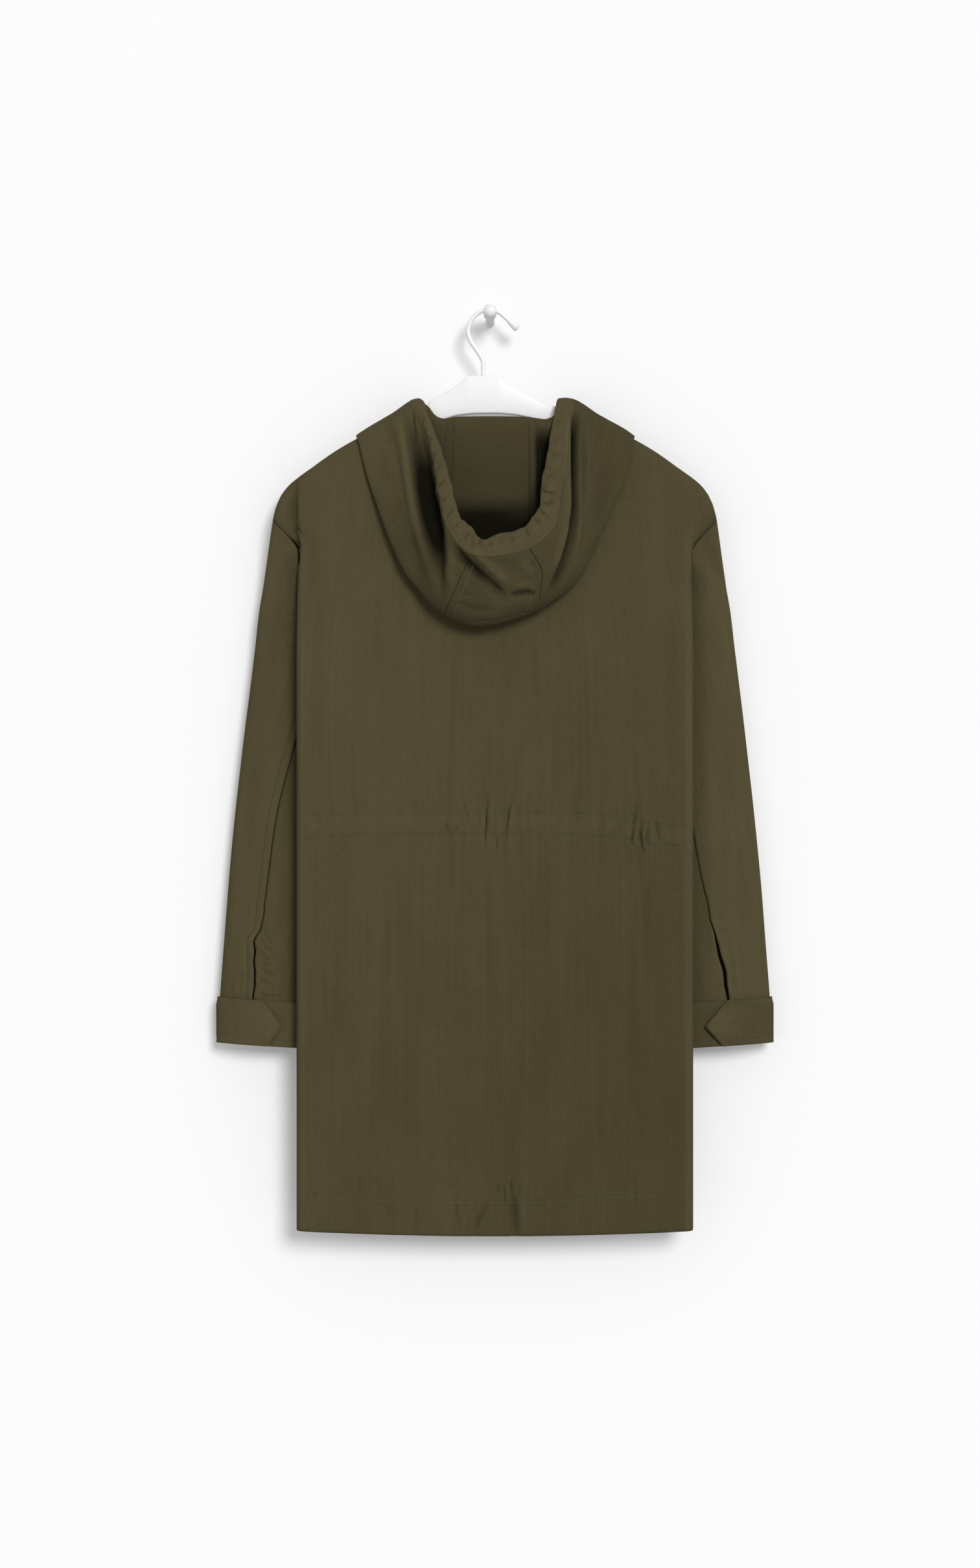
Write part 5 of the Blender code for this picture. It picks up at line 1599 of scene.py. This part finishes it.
    def shade(self, a: Array, b: Array, points: Array) -> tuple[Array, Array]:
        """Painted shade: the upper layer darker towards the right and in its hollows, and the lining behind
        the face edge.

        The lining's painted shade deepens in two steps down the nape, and again towards the right of the face
        edge.
        """
        x, _, z = points.T
        outer = creased(HOOD_PAINTED_SHADE, x, z) - self.shade_depth - self.dark_right * self.shade_across.at(x)
        low = self.nape_shade + self.below_shade * self.below_down.at(z)
        low = low + self.pouch_shade * self.pouch_down.at(z)
        right = self.edge_shade * self.edge_across.at(x) * self.edge_down.at(z)
        return outer * self.shade_to.at(b), -self.inside_to.at(b) * np.maximum(low, right)

    def build(self, material: Material, node: str, a: Array, b: Array) -> Piece:
        """One cut piece of the hood.

        Args:
            material: Its finish.
            node: Solid that it stands for.
            a: Rows at which it is worked out.
            b: Stations at which it is worked out.

        Returns:
            The piece's object.
        """
        return add_piece(self.mesh(a, b), material, [node])


def tube_mesh(name: str, rings: Array, place: Array) -> Mesh:
    """Closed tube through rings of points, whose first and last ring have shrunk to the axis.

    Args:
        name: The mesh's name.
        rings: Points by ring, and round each ring.
        place: Where the piece's own zero is, from the peg's wall face.

    Returns:
        The tube's mesh, with its faces turned outwards.
    """
    count, around = rings.shape[:2]
    index = np.arange(count * around).reshape(count, around)
    beside = np.roll(index, -1, axis=1)
    quads = np.stack([index[:-1], beside[:-1], beside[1:], index[1:]], axis=-1).reshape(-1, 4)
    return make_mesh(name, to_frame(rings.reshape(-1, 3), place), quads)


@dataclass
class Hanger:
    """Moulded hanger: a rounded bar whose top and under edges follow the crown, arch and arms."""

    body: Body
    half_depth: float = 4.0
    clear: float = 3.7
    stem_x: float = -12.6
    arm_x: float = 86.0
    end_x: float = 196.0
    end_run: float = 8.0
    arm_height: float = 20.0
    round_r: float = 2.4
    around: int = 40
    end_fill: float = 0.4
    arm_steps: int = 12
    end_steps: int = 12
    steps: int = 240

    def edges(self, x: Array) -> tuple[Array, Array]:
        """Heights of the top and under edge at x, closing to a round at both ends."""
        arm = np.linspace(self.arm_x, self.end_x, self.arm_steps)
        top = self.body.ridge_z(arm) - self.clear
        crown_x = self.stem_x + column(CROWN, "x")
        arch_x = self.stem_x + column(ARCH, "x")
        top_x = np.concatenate([-arm[::-1], crown_x, arm])
        top_z = np.concatenate([top[::-1], column(CROWN, "z"), top])
        low_x = np.concatenate([-arm[::-1], arch_x, arm])
        low_z = np.concatenate([top[::-1] - self.arm_height, column(ARCH, "z"), top - self.arm_height])
        high, low = np.interp(x, top_x, top_z), curve(low_x, low_z, x)
        over = np.clip((np.abs(x) - self.end_x) / self.end_run, 0.0, 1.0)
        shrink = np.sqrt(1 - over * over)
        middle = (high + low) / 2
        return middle + (high - middle) * shrink, middle + (low - middle) * shrink

    def build(self, material: Material) -> Piece:
        """Rounded rectangle carried from one end of the hanger to the other."""
        end = self.end_x + self.end_run * np.sin(np.linspace(QUARTER, 0.0, self.end_steps))
        middle = np.linspace(-self.end_x, self.end_x, self.steps)[1:-1]
        x = np.concatenate([-end, middle, end[::-1]])
        high, low = self.edges(x)
        half = np.maximum((high - low) / 2, 0.0)
        radius = np.minimum(self.round_r, np.minimum(half, self.half_depth))
        turn = round_turn(self.around) + math.pi / self.around
        up, out = np.sin(turn), np.cos(turn)
        z = (high + low)[:, None] / 2 + (half - radius)[:, None] * np.sign(up) + radius[:, None] * up
        depth = np.minimum(self.half_depth, half + self.end_fill)
        y = self.body.ridge_y + (depth - radius)[:, None] * np.sign(out) + radius[:, None] * out
        rings = np.stack([np.broadcast_to(x[:, None], z.shape), y, z], axis=-1)
        mesh = tube_mesh("hanger_body_moulded", rings, GARMENT_PLACE)
        return add_piece(mesh, material, ["hanger_body"])


@dataclass
class Hook:
    """Coated wire hook: a round section carried along the wire's path, closed at a blunt tip."""

    body: Body
    radius: float = 2.55
    tip_round: float = 2.2
    stem_round: float = 0.8
    steps: int = 150
    around: int = 20

    def build(self, material: Material) -> Piece:
        """Rings in the plane across the wire, rounded off at the stem and the tip."""
        keys = np.arange(len(HOOK_BENDS), dtype=float)
        at = np.linspace(0.0, keys[-1], self.steps)
        x, z, share = (curve(keys, column(HOOK_BENDS, name), at) for name in ("x", "z", "radius"))
        way = unit(np.stack([np.gradient(x), np.gradient(z)], axis=-1))
        place = np.concatenate([[0.0], np.cumsum(np.hypot(np.diff(x), np.diff(z)))])
        from_end = np.clip((place[-1] - place) / self.tip_round, 0.0, 1.0)
        from_start = np.clip(place / self.stem_round, 0.0, 1.0)
        thick = self.radius * share * np.sqrt(1 - (1 - from_end) ** 2) * np.sqrt(1 - (1 - from_start) ** 2)
        turn = round_turn(self.around)
        side = thick[:, None] * np.cos(turn)
        ring_x = x[:, None] + way[:, 1:] * side
        ring_z = z[:, None] - way[:, :1] * side
        ring_y = self.body.ridge_y + thick[:, None] * np.sin(turn)
        rings = np.stack([ring_x, ring_y, ring_z], axis=-1)
        mesh = tube_mesh("hanger_hook_coated", rings, GARMENT_PLACE)
        return add_piece(mesh, material, ["hanger_hook"])


@dataclass
class Peg:
    """Turned wooden peg that leans up from the wall, flush with it."""

    neck_r: float = 4.9
    head_r: float = 7.2
    neck_length: float = 33.0
    length: float = 54.0
    rise: float = 6.3
    dome: float = 5.0
    step: float = 2.7
    step_from: float = 0.3
    flush_run: float = 12.0
    around: int = 48
    neck_steps: int = 24
    step_steps: int = 9
    head_steps: int = 20
    dome_steps: int = 14

    def build(self, material: Material) -> Piece:
        """Profile turned about the leaning axis; its root lies where the axis plane meets the wall."""
        lean = math.atan2(self.rise, self.length)
        end = math.hypot(self.rise, self.length)
        turn = np.linspace(0.0, QUARTER, self.dome_steps)
        neck = np.linspace(0.0, self.neck_length, self.neck_steps)
        step = np.linspace(0.0, 1.0, self.step_steps)
        shoulder_r = self.neck_r + (self.head_r - self.neck_r) * ease(step)
        head_from = self.neck_length + self.step_from + self.step
        head = np.linspace(head_from, end - self.dome, self.head_steps)[1:]
        radius = np.concatenate([[0.0], np.full(len(neck), self.neck_r), shoulder_r,
                                 np.full(len(head), self.head_r), self.head_r * np.cos(turn[1:])])
        along = np.concatenate([[0.0], neck, self.neck_length + self.step_from + self.step * step,
                                head, end - self.dome + self.dome * np.sin(turn[1:])])
        angle = round_turn(self.around)
        flush = ease(1 - along / self.flush_run)
        far = along[:, None] + flush[:, None] * radius[:, None] * np.sin(angle) * math.tan(lean)
        x = radius[:, None] * np.cos(angle)
        off = radius[:, None] * np.sin(angle)
        y = -far * math.cos(lean) + off * math.sin(lean)
        z = far * math.sin(lean) + off * math.cos(lean)
        rings = np.stack([x, y, z], axis=-1)
        mesh = tube_mesh("wall_peg_turned", rings, PEG_PLACE)
        return add_piece(mesh, material, ["wall_peg"])


class NodeSheet:
    """Shader nodes of one material or group, with short calls to add and join them."""

    def __init__(self, tree: Tree) -> None:
        """Work on a node tree."""
        self.tree = tree

    def add(self, kind: str, **settings: object) -> bpy.types.Node:
        """Add a node and set its properties."""
        node = self.tree.nodes.new(kind)
        for name, value in settings.items():
            setattr(node, name, value)
        return node

    def join(self, start: Socket, end: Socket) -> None:
        """Link an output to an input."""
        self.tree.links.new(start, end)

    def noise(self, place: Socket, scale: tuple[float, float, float], detail: float) -> Socket:
        """Noise that is stretched by its own scale along each axis.

        Args:
            place: Coordinates that it reads, in metres.
            scale: Cells a metre along each axis.
            detail: Octaves of finer noise.

        Returns:
            The noise, around one half.
        """
        stretch = self.add("ShaderNodeVectorMath", operation="MULTIPLY")
        stretch.inputs[1].default_value = scale
        self.join(place, stretch.inputs[0])
        noise = self.add("ShaderNodeTexNoise", noise_dimensions="3D")
        noise.inputs["Scale"].default_value = 1.0
        noise.inputs["Detail"].default_value = detail
        self.join(stretch.outputs[0], noise.inputs["Vector"])
        return noise.outputs[0]

    def math(self, operation: str, *values: Socket | float) -> Socket:
        """Sum on sockets and numbers.

        Args:
            operation: Blender's name of the sum.
            values: What it works on, in order.

        Returns:
            The result.
        """
        node = self.add("ShaderNodeMath", operation=operation)
        for socket, value in zip(node.inputs, values):
            if isinstance(value, (int, float)):
                socket.default_value = value
            else:
                self.join(value, socket)
        return node.outputs[0]

    def tint(self, colour: Socket, factor: Socket) -> Socket:
        """Colour times a factor."""
        node = self.add("ShaderNodeVectorMath", operation="SCALE")
        self.join(colour, node.inputs[0])
        self.join(factor, node.inputs["Scale"])
        return node.outputs[0]


def new_group(name: str, **inputs: str) -> tuple[NodeSheet, bpy.types.Node, bpy.types.Node]:
    """Shader node group that puts out a colour, a roughness and a height.

    Args:
        name: The group's name.
        inputs: Kind of socket of each named input.

    Returns:
        The group's sheet, its input node and its output node.
    """
    tree = bpy.data.node_groups.new(name, "ShaderNodeTree")
    outputs = {"Colour": "Color", "Roughness": "Float", "Height": "Float"}
    for way, sockets in (("INPUT", inputs), ("OUTPUT", outputs)):
        for label, kind in sockets.items():
            tree.interface.new_socket(label, in_out=way, socket_type="NodeSocket" + kind)
    sheet = NodeSheet(tree)
    return sheet, sheet.add("NodeGroupInput"), sheet.add("NodeGroupOutput")


def weave_group() -> Tree:
    """Washed plain weave: warp and weft threads, slubs along the warp, soft mottling and fine crumple.

    Colour is the cloth's own times one plus each pattern's part, times one plus the painted shading of the
    crease attribute: painted shade in troughs and hollows, painted light on ridges. Height is the crumple
    with the two sets of threads on it.
    """
    sheet, given, put = new_group(
        "Washed weave", Place="Vector", Colour="Color", Crease="Float", Slub="Float", Fading="Float",
        Crumple="Float", Roughness="Float",
    )
    place = given.outputs["Place"]
    warp = sheet.noise(place, (1250.0, 90.0, 1.0), 1.0)
    weft = sheet.noise(place, (90.0, 1250.0, 1.0), 1.0)
    streak = sheet.noise(place, (230.0, 6.0, 1.0), 3.0)
    bar = sheet.noise(place, (9.0, 300.0, 1.0), 2.0)
    mottle = sheet.noise(place, (16.0, 10.0, 1.0), 4.0)
    crumple = sheet.noise(place, (85.0, 62.0, 1.0), 4.0)
    bar_share, grain_depth, mottle_depth, dry_depth, thread_height = 0.45, 0.26, 0.22, 0.16, 0.11
    threads = sheet.math("ADD", warp, weft)
    grain = sheet.math("MULTIPLY_ADD", sheet.math("SUBTRACT", threads, 1.0), grain_depth, 1.0)
    slub = sheet.math("ADD", streak, sheet.math("MULTIPLY", bar, bar_share))
    slub = sheet.math("SUBTRACT", slub, (1 + bar_share) / 2)
    factor = sheet.math("MULTIPLY_ADD", slub, given.outputs["Slub"], grain)
    uneven_dye = sheet.math("SUBTRACT", mottle, 0.5)
    factor = sheet.math("MULTIPLY_ADD", uneven_dye, mottle_depth, factor)
    # Painted shade and light: the crease attribute darkens troughs and hollows and lightens ridges
    depth = sheet.math("MINIMUM", sheet.math("MAXIMUM", given.outputs["Crease"], DEEPEST_SHADE), BRIGHTEST_LIGHT)
    factor = sheet.math("MULTIPLY", factor, sheet.math("MULTIPLY_ADD", depth, given.outputs["Fading"], 1.0))
    sheet.join(sheet.tint(given.outputs["Colour"], factor), put.inputs["Colour"])
    dry = sheet.math("MULTIPLY_ADD", uneven_dye, dry_depth, given.outputs["Roughness"])
    sheet.join(dry, put.inputs["Roughness"])
    crumpled = sheet.math("MULTIPLY", crumple, given.outputs["Crumple"])
    sheet.join(sheet.math("MULTIPLY_ADD", threads, thread_height, crumpled), put.inputs["Height"])
    return sheet.tree


def speckle_group() -> Tree:
    """Coated surface: soft mottling, grey specks where noise passes a limit, and brush or mould marks.

    Colour is the coat's own, times one less each speck's and the mottling's part. Height is the mark
    noise, which is stretched along the axis that its scale is small on.
    """
    sheet, given, put = new_group(
        "Speckled coat", Place="Vector", Marks="Vector", Colour="Color", Specks="Float", Mottle="Float",
        Roughness="Float",
    )
    mottle = sheet.noise(given.outputs["Place"], (120.0, 120.0, 120.0), 4.0)
    spots = sheet.noise(given.outputs["Place"], (520.0, 520.0, 520.0), 2.0)
    marks = sheet.noise(given.outputs["Marks"], (1.0, 1.0, 1.0), 3.0)
    limit, sharpness, rough_depth = 0.6, 7.0, 0.18
    speck = sheet.math("MAXIMUM", sheet.math("SUBTRACT", spots, limit), 0.0)
    speck = sheet.math("MULTIPLY", speck, sharpness)
    speck = sheet.math("MULTIPLY", sheet.math("MINIMUM", speck, 1.0), given.outputs["Specks"])
    shade = sheet.math("MULTIPLY", sheet.math("SUBTRACT", mottle, 0.5), given.outputs["Mottle"])
    factor = sheet.math("ADD", sheet.math("SUBTRACT", 1.0, speck), shade)
    sheet.join(sheet.tint(given.outputs["Colour"], factor), put.inputs["Colour"])
    rough = sheet.math("SUBTRACT", marks, 0.5)
    rough = sheet.math("MULTIPLY_ADD", rough, rough_depth, given.outputs["Roughness"])
    sheet.join(rough, put.inputs["Roughness"])
    sheet.join(marks, put.inputs["Height"])
    return sheet.tree


@dataclass
class Shaded:
    """Principled material whose colour, roughness and bump come from a node group."""

    name: str
    group: Tree
    bump: float

    def __post_init__(self) -> None:
        """Make the material and join the group to its shader."""
        self.material = bpy.data.materials.new(self.name)
        self.material.use_nodes = True
        self.sheet = NodeSheet(self.material.node_tree)
        self.shader = self.material.node_tree.nodes["Principled BSDF"]
        self.pattern = self.sheet.add("ShaderNodeGroup", node_tree=self.group)
        relief = self.sheet.add("ShaderNodeBump")
        relief.inputs["Distance"].default_value = self.bump
        self.sheet.join(self.pattern.outputs["Colour"], self.shader.inputs["Base Color"])
        self.sheet.join(self.pattern.outputs["Roughness"], self.shader.inputs["Roughness"])
        self.sheet.join(self.pattern.outputs["Height"], relief.inputs["Height"])
        self.sheet.join(relief.outputs["Normal"], self.shader.inputs["Normal"])

    def give(self, **values: object) -> None:
        """Set the group's inputs."""
        for label, value in values.items():
            self.pattern.inputs[label].default_value = value


@dataclass(frozen=True)
class ClothFinish:
    """Washed cotton: its colour, how uneven its threads are, and how much painted shade its creases get."""

    name: str
    colour: tuple[float, float, float]
    slub: float
    fading: float
    crumple: float
    roughness: float
    sheen: float
    bump: float = 0.0006
    gloss: float = 0.03
    sheen_roughness: float = 0.45

    def material(self, weave: Tree) -> Material:
        """Material on the flat cut's coordinates and the crease attribute."""
        made = Shaded(self.name, weave, self.bump)
        made.give(Colour=(*self.colour, 1.0), Slub=self.slub, Fading=self.fading)
        made.give(Crumple=self.crumple, Roughness=self.roughness)
        cut = made.sheet.add("ShaderNodeUVMap", uv_map="Cut")
        crease = made.sheet.add("ShaderNodeAttribute", attribute_name="crease")
        made.sheet.join(cut.outputs["UV"], made.pattern.inputs["Place"])
        made.sheet.join(crease.outputs["Fac"], made.pattern.inputs["Crease"])
        made.shader.inputs["Sheen Weight"].default_value = self.sheen
        made.shader.inputs["Specular IOR Level"].default_value = self.gloss
        made.shader.inputs["Sheen Roughness"].default_value = self.sheen_roughness
        return made.material


@dataclass(frozen=True)
class CoatFinish:
    """White coat on plastic, wire or wood: its specks, mottling and marks."""

    name: str
    colour: tuple[float, float, float]
    specks: float
    mottle: float
    marks: tuple[float, float, float]
    roughness: float
    bump: float
    coat: float = 0.0

    def material(self, speckle: Tree) -> Material:
        """Material on object coordinates."""
        made = Shaded(self.name, speckle, self.bump)
        made.give(Colour=(*self.colour, 1.0), Specks=self.specks, Mottle=self.mottle)
        made.give(Roughness=self.roughness)
        place = made.sheet.add("ShaderNodeTexCoord").outputs["Object"]
        stretch = made.sheet.add("ShaderNodeVectorMath", operation="MULTIPLY")
        stretch.inputs[1].default_value = self.marks
        made.sheet.join(place, stretch.inputs[0])
        made.sheet.join(place, made.pattern.inputs["Place"])
        made.sheet.join(stretch.outputs[0], made.pattern.inputs["Marks"])
        made.shader.inputs["Coat Weight"].default_value = self.coat
        return made.material


OLIVE_CLOTH = ClothFinish(
    "Olive washed cotton", (0.0795, 0.0652, 0.0316), slub=0.27, fading=0.05, crumple=0.42, roughness=0.84,
    sheen=0.025,
)
OLIVE_THREAD = ClothFinish(
    "Olive thread", (0.138, 0.120, 0.076), slub=0.2, fading=0.0, crumple=0.2, roughness=0.7, sheen=0.10,
    bump=0.0002,
)
# The olive thread darkened as painted shade, for the rows inside the hood and on the left sleeve
SHADED_THREAD = ClothFinish(
    "Shadowed olive thread", (0.032, 0.026, 0.013), slub=0.2, fading=0.0, crumple=0.2, roughness=0.7,
    sheen=0.10, bump=0.0002,
)
MOULDED_PLASTIC = CoatFinish(
    "Moulded white plastic", (0.86, 0.86, 0.855), specks=0.0, mottle=0.03, marks=(90.0, 90.0, 90.0),
    roughness=0.34, bump=0.00006, coat=0.1,
)
COATED_WIRE = CoatFinish(
    "White coated wire", (0.87, 0.87, 0.865), specks=0.05, mottle=0.05, marks=(200.0, 200.0, 200.0),
    roughness=0.30, bump=0.00008, coat=0.2,
)
BRUSHED_PAINT = CoatFinish(
    "Brushed white paint", (0.84, 0.83, 0.815), specks=0.34, mottle=0.26, marks=(700.0, 60.0, 700.0),
    roughness=0.50, bump=0.00025,
)


@dataclass
class Studio:
    """Camera, soft light, pale wall and pale floor."""

    aim_x: float = 0.0
    aim_z: float = -0.5051
    garment_y: float = -0.045
    distance: float = 3.0
    view_height: float = 1.694
    sensor: float = 36.0
    sky: tuple[float, float, float] = (0.985, 0.99, 1.0)
    wall: float = 0.80
    wall_roughness: float = 0.95
    glow: float = 0.135
    ambient: float = 0.50
    key: float = 2.0
    key_from: tuple[float, float, float] = (0.33, -0.92, 0.38)
    key_spread: float = 22.0
    behind: float = 0.9
    behind_from: tuple[float, float, float] = (-0.5, 0.8, 0.45)
    behind_spread: float = 60.0
    floor_z: float = -1.5
    far: float = 4.0

    def camera(self) -> None:
        """Level camera straight in front, whose frame is as tall at the garment as the picture's."""
        data = bpy.data.cameras.new("Camera")
        data.sensor_width = self.sensor
        data.sensor_fit = "AUTO"
        data.lens = self.sensor * self.distance / self.view_height
        camera = bpy.data.objects.new("Camera", data)
        camera.location = (self.aim_x, self.garment_y - self.distance, self.aim_z)
        camera.rotation_euler = (QUARTER, 0.0, 0.0)
        link(camera)
        bpy.context.scene.camera = camera

    def lamp(self, name: str, towards: tuple[float, float, float], strength: float, spread: float) -> None:
        """Distant soft lamp.

        Args:
            name: The lamp's name.
            towards: Direction from the garment to the lamp.
            strength: Light that falls on a surface square to it.
            spread: Angle across the lamp, in degrees.
        """
        data = bpy.data.lights.new(name, "SUN")
        data.energy = strength
        data.angle = math.radians(spread)
        lamp = bpy.data.objects.new(name, data)
        lamp.rotation_euler = Vector(towards).to_track_quat("Z", "Y").to_euler()
        link(lamp)

    def light(self) -> None:
        """Pale surroundings, a soft key from the upper right, and a weaker lamp for the hidden side."""
        world = bpy.data.worlds.new("Pale studio")
        world.use_nodes = True
        background = world.node_tree.nodes["Background"]
        background.inputs["Color"].default_value = (*self.sky, 1.0)
        background.inputs["Strength"].default_value = self.ambient
        bpy.context.scene.world = world
        bpy.context.scene.view_settings.view_transform = "Standard"
        self.lamp("Key", self.key_from, self.key, self.key_spread)
        self.lamp("Behind", self.behind_from, self.behind, self.behind_spread)

    def plane(self, name: str, corners: Sequence[tuple[float, float, float]]) -> Piece:
        """Flat sheet of the stage in the pale finish, which is clear from behind."""
        mesh = make_mesh(name, np.array(corners), np.array([[0, 1, 2, 3]]))
        material = bpy.data.materials.new(name)
        material.use_nodes = True
        sheet = NodeSheet(material.node_tree)
        shader = material.node_tree.nodes["Principled BSDF"]
        shader.inputs["Base Color"].default_value = (self.wall, self.wall, self.wall, 1.0)
        shader.inputs["Roughness"].default_value = self.wall_roughness
        shader.inputs["Specular IOR Level"].default_value = 0.0
        shader.inputs["Emission Color"].default_value = (1.0, 1.0, 1.0, 1.0)
        shader.inputs["Emission Strength"].default_value = self.glow
        clear = sheet.add("ShaderNodeBsdfTransparent")
        mix = sheet.add("ShaderNodeMixShader")
        sheet.join(sheet.add("ShaderNodeNewGeometry").outputs["Backfacing"], mix.inputs[0])
        sheet.join(shader.outputs[0], mix.inputs[1])
        sheet.join(clear.outputs[0], mix.inputs[2])
        sheet.join(mix.outputs[0], material.node_tree.nodes["Material Output"].inputs[0])
        mesh.materials.append(material)
        item = bpy.data.objects.new(name, mesh)
        item.visible_shadow = False
        item.visible_diffuse = False
        link(item)
        return item

    def build(self) -> None:
        """Camera, lamps, the wall that the peg stands on and the floor far below."""
        self.camera()
        self.light()
        far, low = self.far, self.floor_z
        self.plane("Wall", ((-far, 0.0, low), (far, 0.0, low), (far, 0.0, far), (-far, 0.0, far)))
        self.plane("Floor", ((-far, -2 * far, low), (far, -2 * far, low), (far, far, low), (-far, far, low)))


def row_on(panel: BackPanel, path: Path) -> tuple[Array, Array]:
    """Parameters along a stitched row of the back that is given by x and height."""
    x = np.linspace(path[0][0], path[-1][0], ROW_POINTS)
    return panel.at(x, row_z(path, x))


class Parka:
    """The whole garment with its stitching."""

    def __init__(self) -> None:
        """Make the finishes and the form that all the pieces share."""
        weave = weave_group()
        self.cloth = OLIVE_CLOTH.material(weave)
        self.thread = OLIVE_THREAD.material(weave)
        self.shaded_thread = SHADED_THREAD.material(weave)
        self.body = Body()

    def build_back(self) -> None:
        """Back panel with the waist casing's two rows and the hem's row."""
        panel = BackPanel("back_cloth", self.body)
        piece = panel.build(self.cloth)
        sewing = Stitching("back_stitching", lift=0.4)
        for path in (WAIST_UPPER, WAIST_LOWER, HEM_ROW):
            sewing.sew(panel, *row_on(panel, path))
        stitches = sewing.build(self.thread)

    def build_fronts(self) -> None:
        """Both fronts with their hems, and the placket over the closing with its two rows."""
        for side in Side:
            panel = FrontPanel(f"front_{side.word}_cloth", self.body, outward=-side.value, side=side)
            piece = panel.build(self.cloth)
            sewing = Stitching(f"front_{side.word}_stitching")
            sewing.sew(panel, panel.hem_row, np.linspace(0.1, 0.99, SEAM_POINTS))
            stitches = sewing.build(self.thread)
        panel = Placket("front_placket_cloth", self.body, outward=-1.0)
        piece = panel.build(self.cloth)
        sewing = Stitching("front_placket_stitching")
        for across in (-panel.row_share, panel.row_share):
            sewing.sew(panel, np.linspace(0.004, 0.996, 1200), across)
        stitches = sewing.build(self.thread)

    def build_arm(self, side: Side) -> None:
        """Sleeve with its topstitched seam, and cuff with its stitched edges and tab.

        Args:
            side: Side of the wearer.
        """
        sleeve = Sleeve(f"sleeve_{side.word}_cloth", self.body, outward=-side.value, side=side, step_a=0.01)
        piece = sleeve.build(self.cloth)
        sewing = Stitching(f"sleeve_{side.word}_stitching")
        seam = 1 - sleeve.stitch_off / sleeve.round_about
        sewing.sew(sleeve, np.linspace(0.6, 9.6, 900), seam)
        stitches = sewing.build(self.shaded_thread if side is Side.LEFT else self.thread)
        cuff = Cuff(f"cuff_{side.word}_cloth", self.body, outward=-side.value, side=side)
        piece = cuff.build(self.cloth)
        sewing = Stitching(f"cuff_{side.word}_stitching")
        run = np.linspace(0.02, 0.972, 900)
        top, low = cuff.top_row / cuff.height, 1 - cuff.low_row / cuff.height
        sewing.sew(cuff, low, run)
        sewing.sew(cuff, top, run)
        sewing.sew(cuff, np.linspace(top, low, 300), 1 - cuff.end_row / cuff.length)
        stitches = sewing.build(self.thread)

    def build_hood(self) -> None:
        """Hood sides, centre strip and drawstring casing with their stitched seams."""
        left_seam = len(FRONT_ROWS) + len(LEFT_ROWS) - 1.0
        right_seam = left_seam + 2.0
        last = left_seam + right_seam
        gap, left_off, right_off = 0.012, 0.26, 0.2
        rows = spread((0.0, 26), (3.4, 30), (5.0, 72), (left_seam, 0))
        centre = np.linspace(left_seam + gap, right_seam - gap, 64)
        across = spread((0.0, 26), (3.0, 10), (4.6, 22), (5.6, 62), (8.0, 0))
        upper, nape = np.linspace(5.3, 7.85, SEAM_POINTS), np.linspace(1.7, 3.9, SEAM_POINTS)
        for node, a in (("hood_left", rows), ("hood_right", last - rows[::-1]), ("hood_centre", centre)):
            panel = HoodPanel(node + "_cloth", self.body)
            piece = panel.build(self.cloth, node, a, across)
            sewing = Stitching(node + "_stitching")
            if node == "hood_centre":
                for row in (left_seam + left_off, right_seam - right_off):
                    sewing.sew(panel, row, upper)
            else:
                seam, way = (left_seam, -1.0) if node == "hood_left" else (right_seam, 1.0)
                rows_off = np.interp(nape, *zip(*NAPE_SEAM))
                for share in NAPE_ROWS:
                    sewing.sew(panel, seam + way * (share * rows_off), nape, inside=True)
            stitches = sewing.build(self.thread if node == "hood_centre" else self.shaded_thread)
        casing = HoodPanel("hood_casing_cloth", self.body)
        around = spread((0.0, 50), (4.6, 420), (last - 4.6, 50), (last, 0))
        piece = casing.build(self.cloth, "hood_casing", around, np.linspace(8.0, 12.0, 29))
        sewing = Stitching("hood_casing_stitching")
        line = casing.seam_station + casing.groove_off
        sewing.sew(casing, np.linspace(8.8, last - 8.9, 2000), line)
        stitches = sewing.build(self.thread)

    def build(self) -> None:
        """Every piece of the garment."""
        self.build_back()
        self.build_fronts()
        for side in Side:
            self.build_arm(side)
        self.build_hood()


def main() -> None:
    """Build the studio, the garment, and the hanger and peg that carry it."""
    logging.basicConfig(level=logging.INFO, format="%(name)s: %(message)s")
    Studio().build()
    parka = Parka()
    parka.build()
    speckle = speckle_group()
    Hanger(parka.body).build(MOULDED_PLASTIC.material(speckle))
    Hook(parka.body).build(COATED_WIRE.material(speckle))
    Peg().build(BRUSHED_PAINT.material(speckle))


if __name__ == "__main__":
    main()
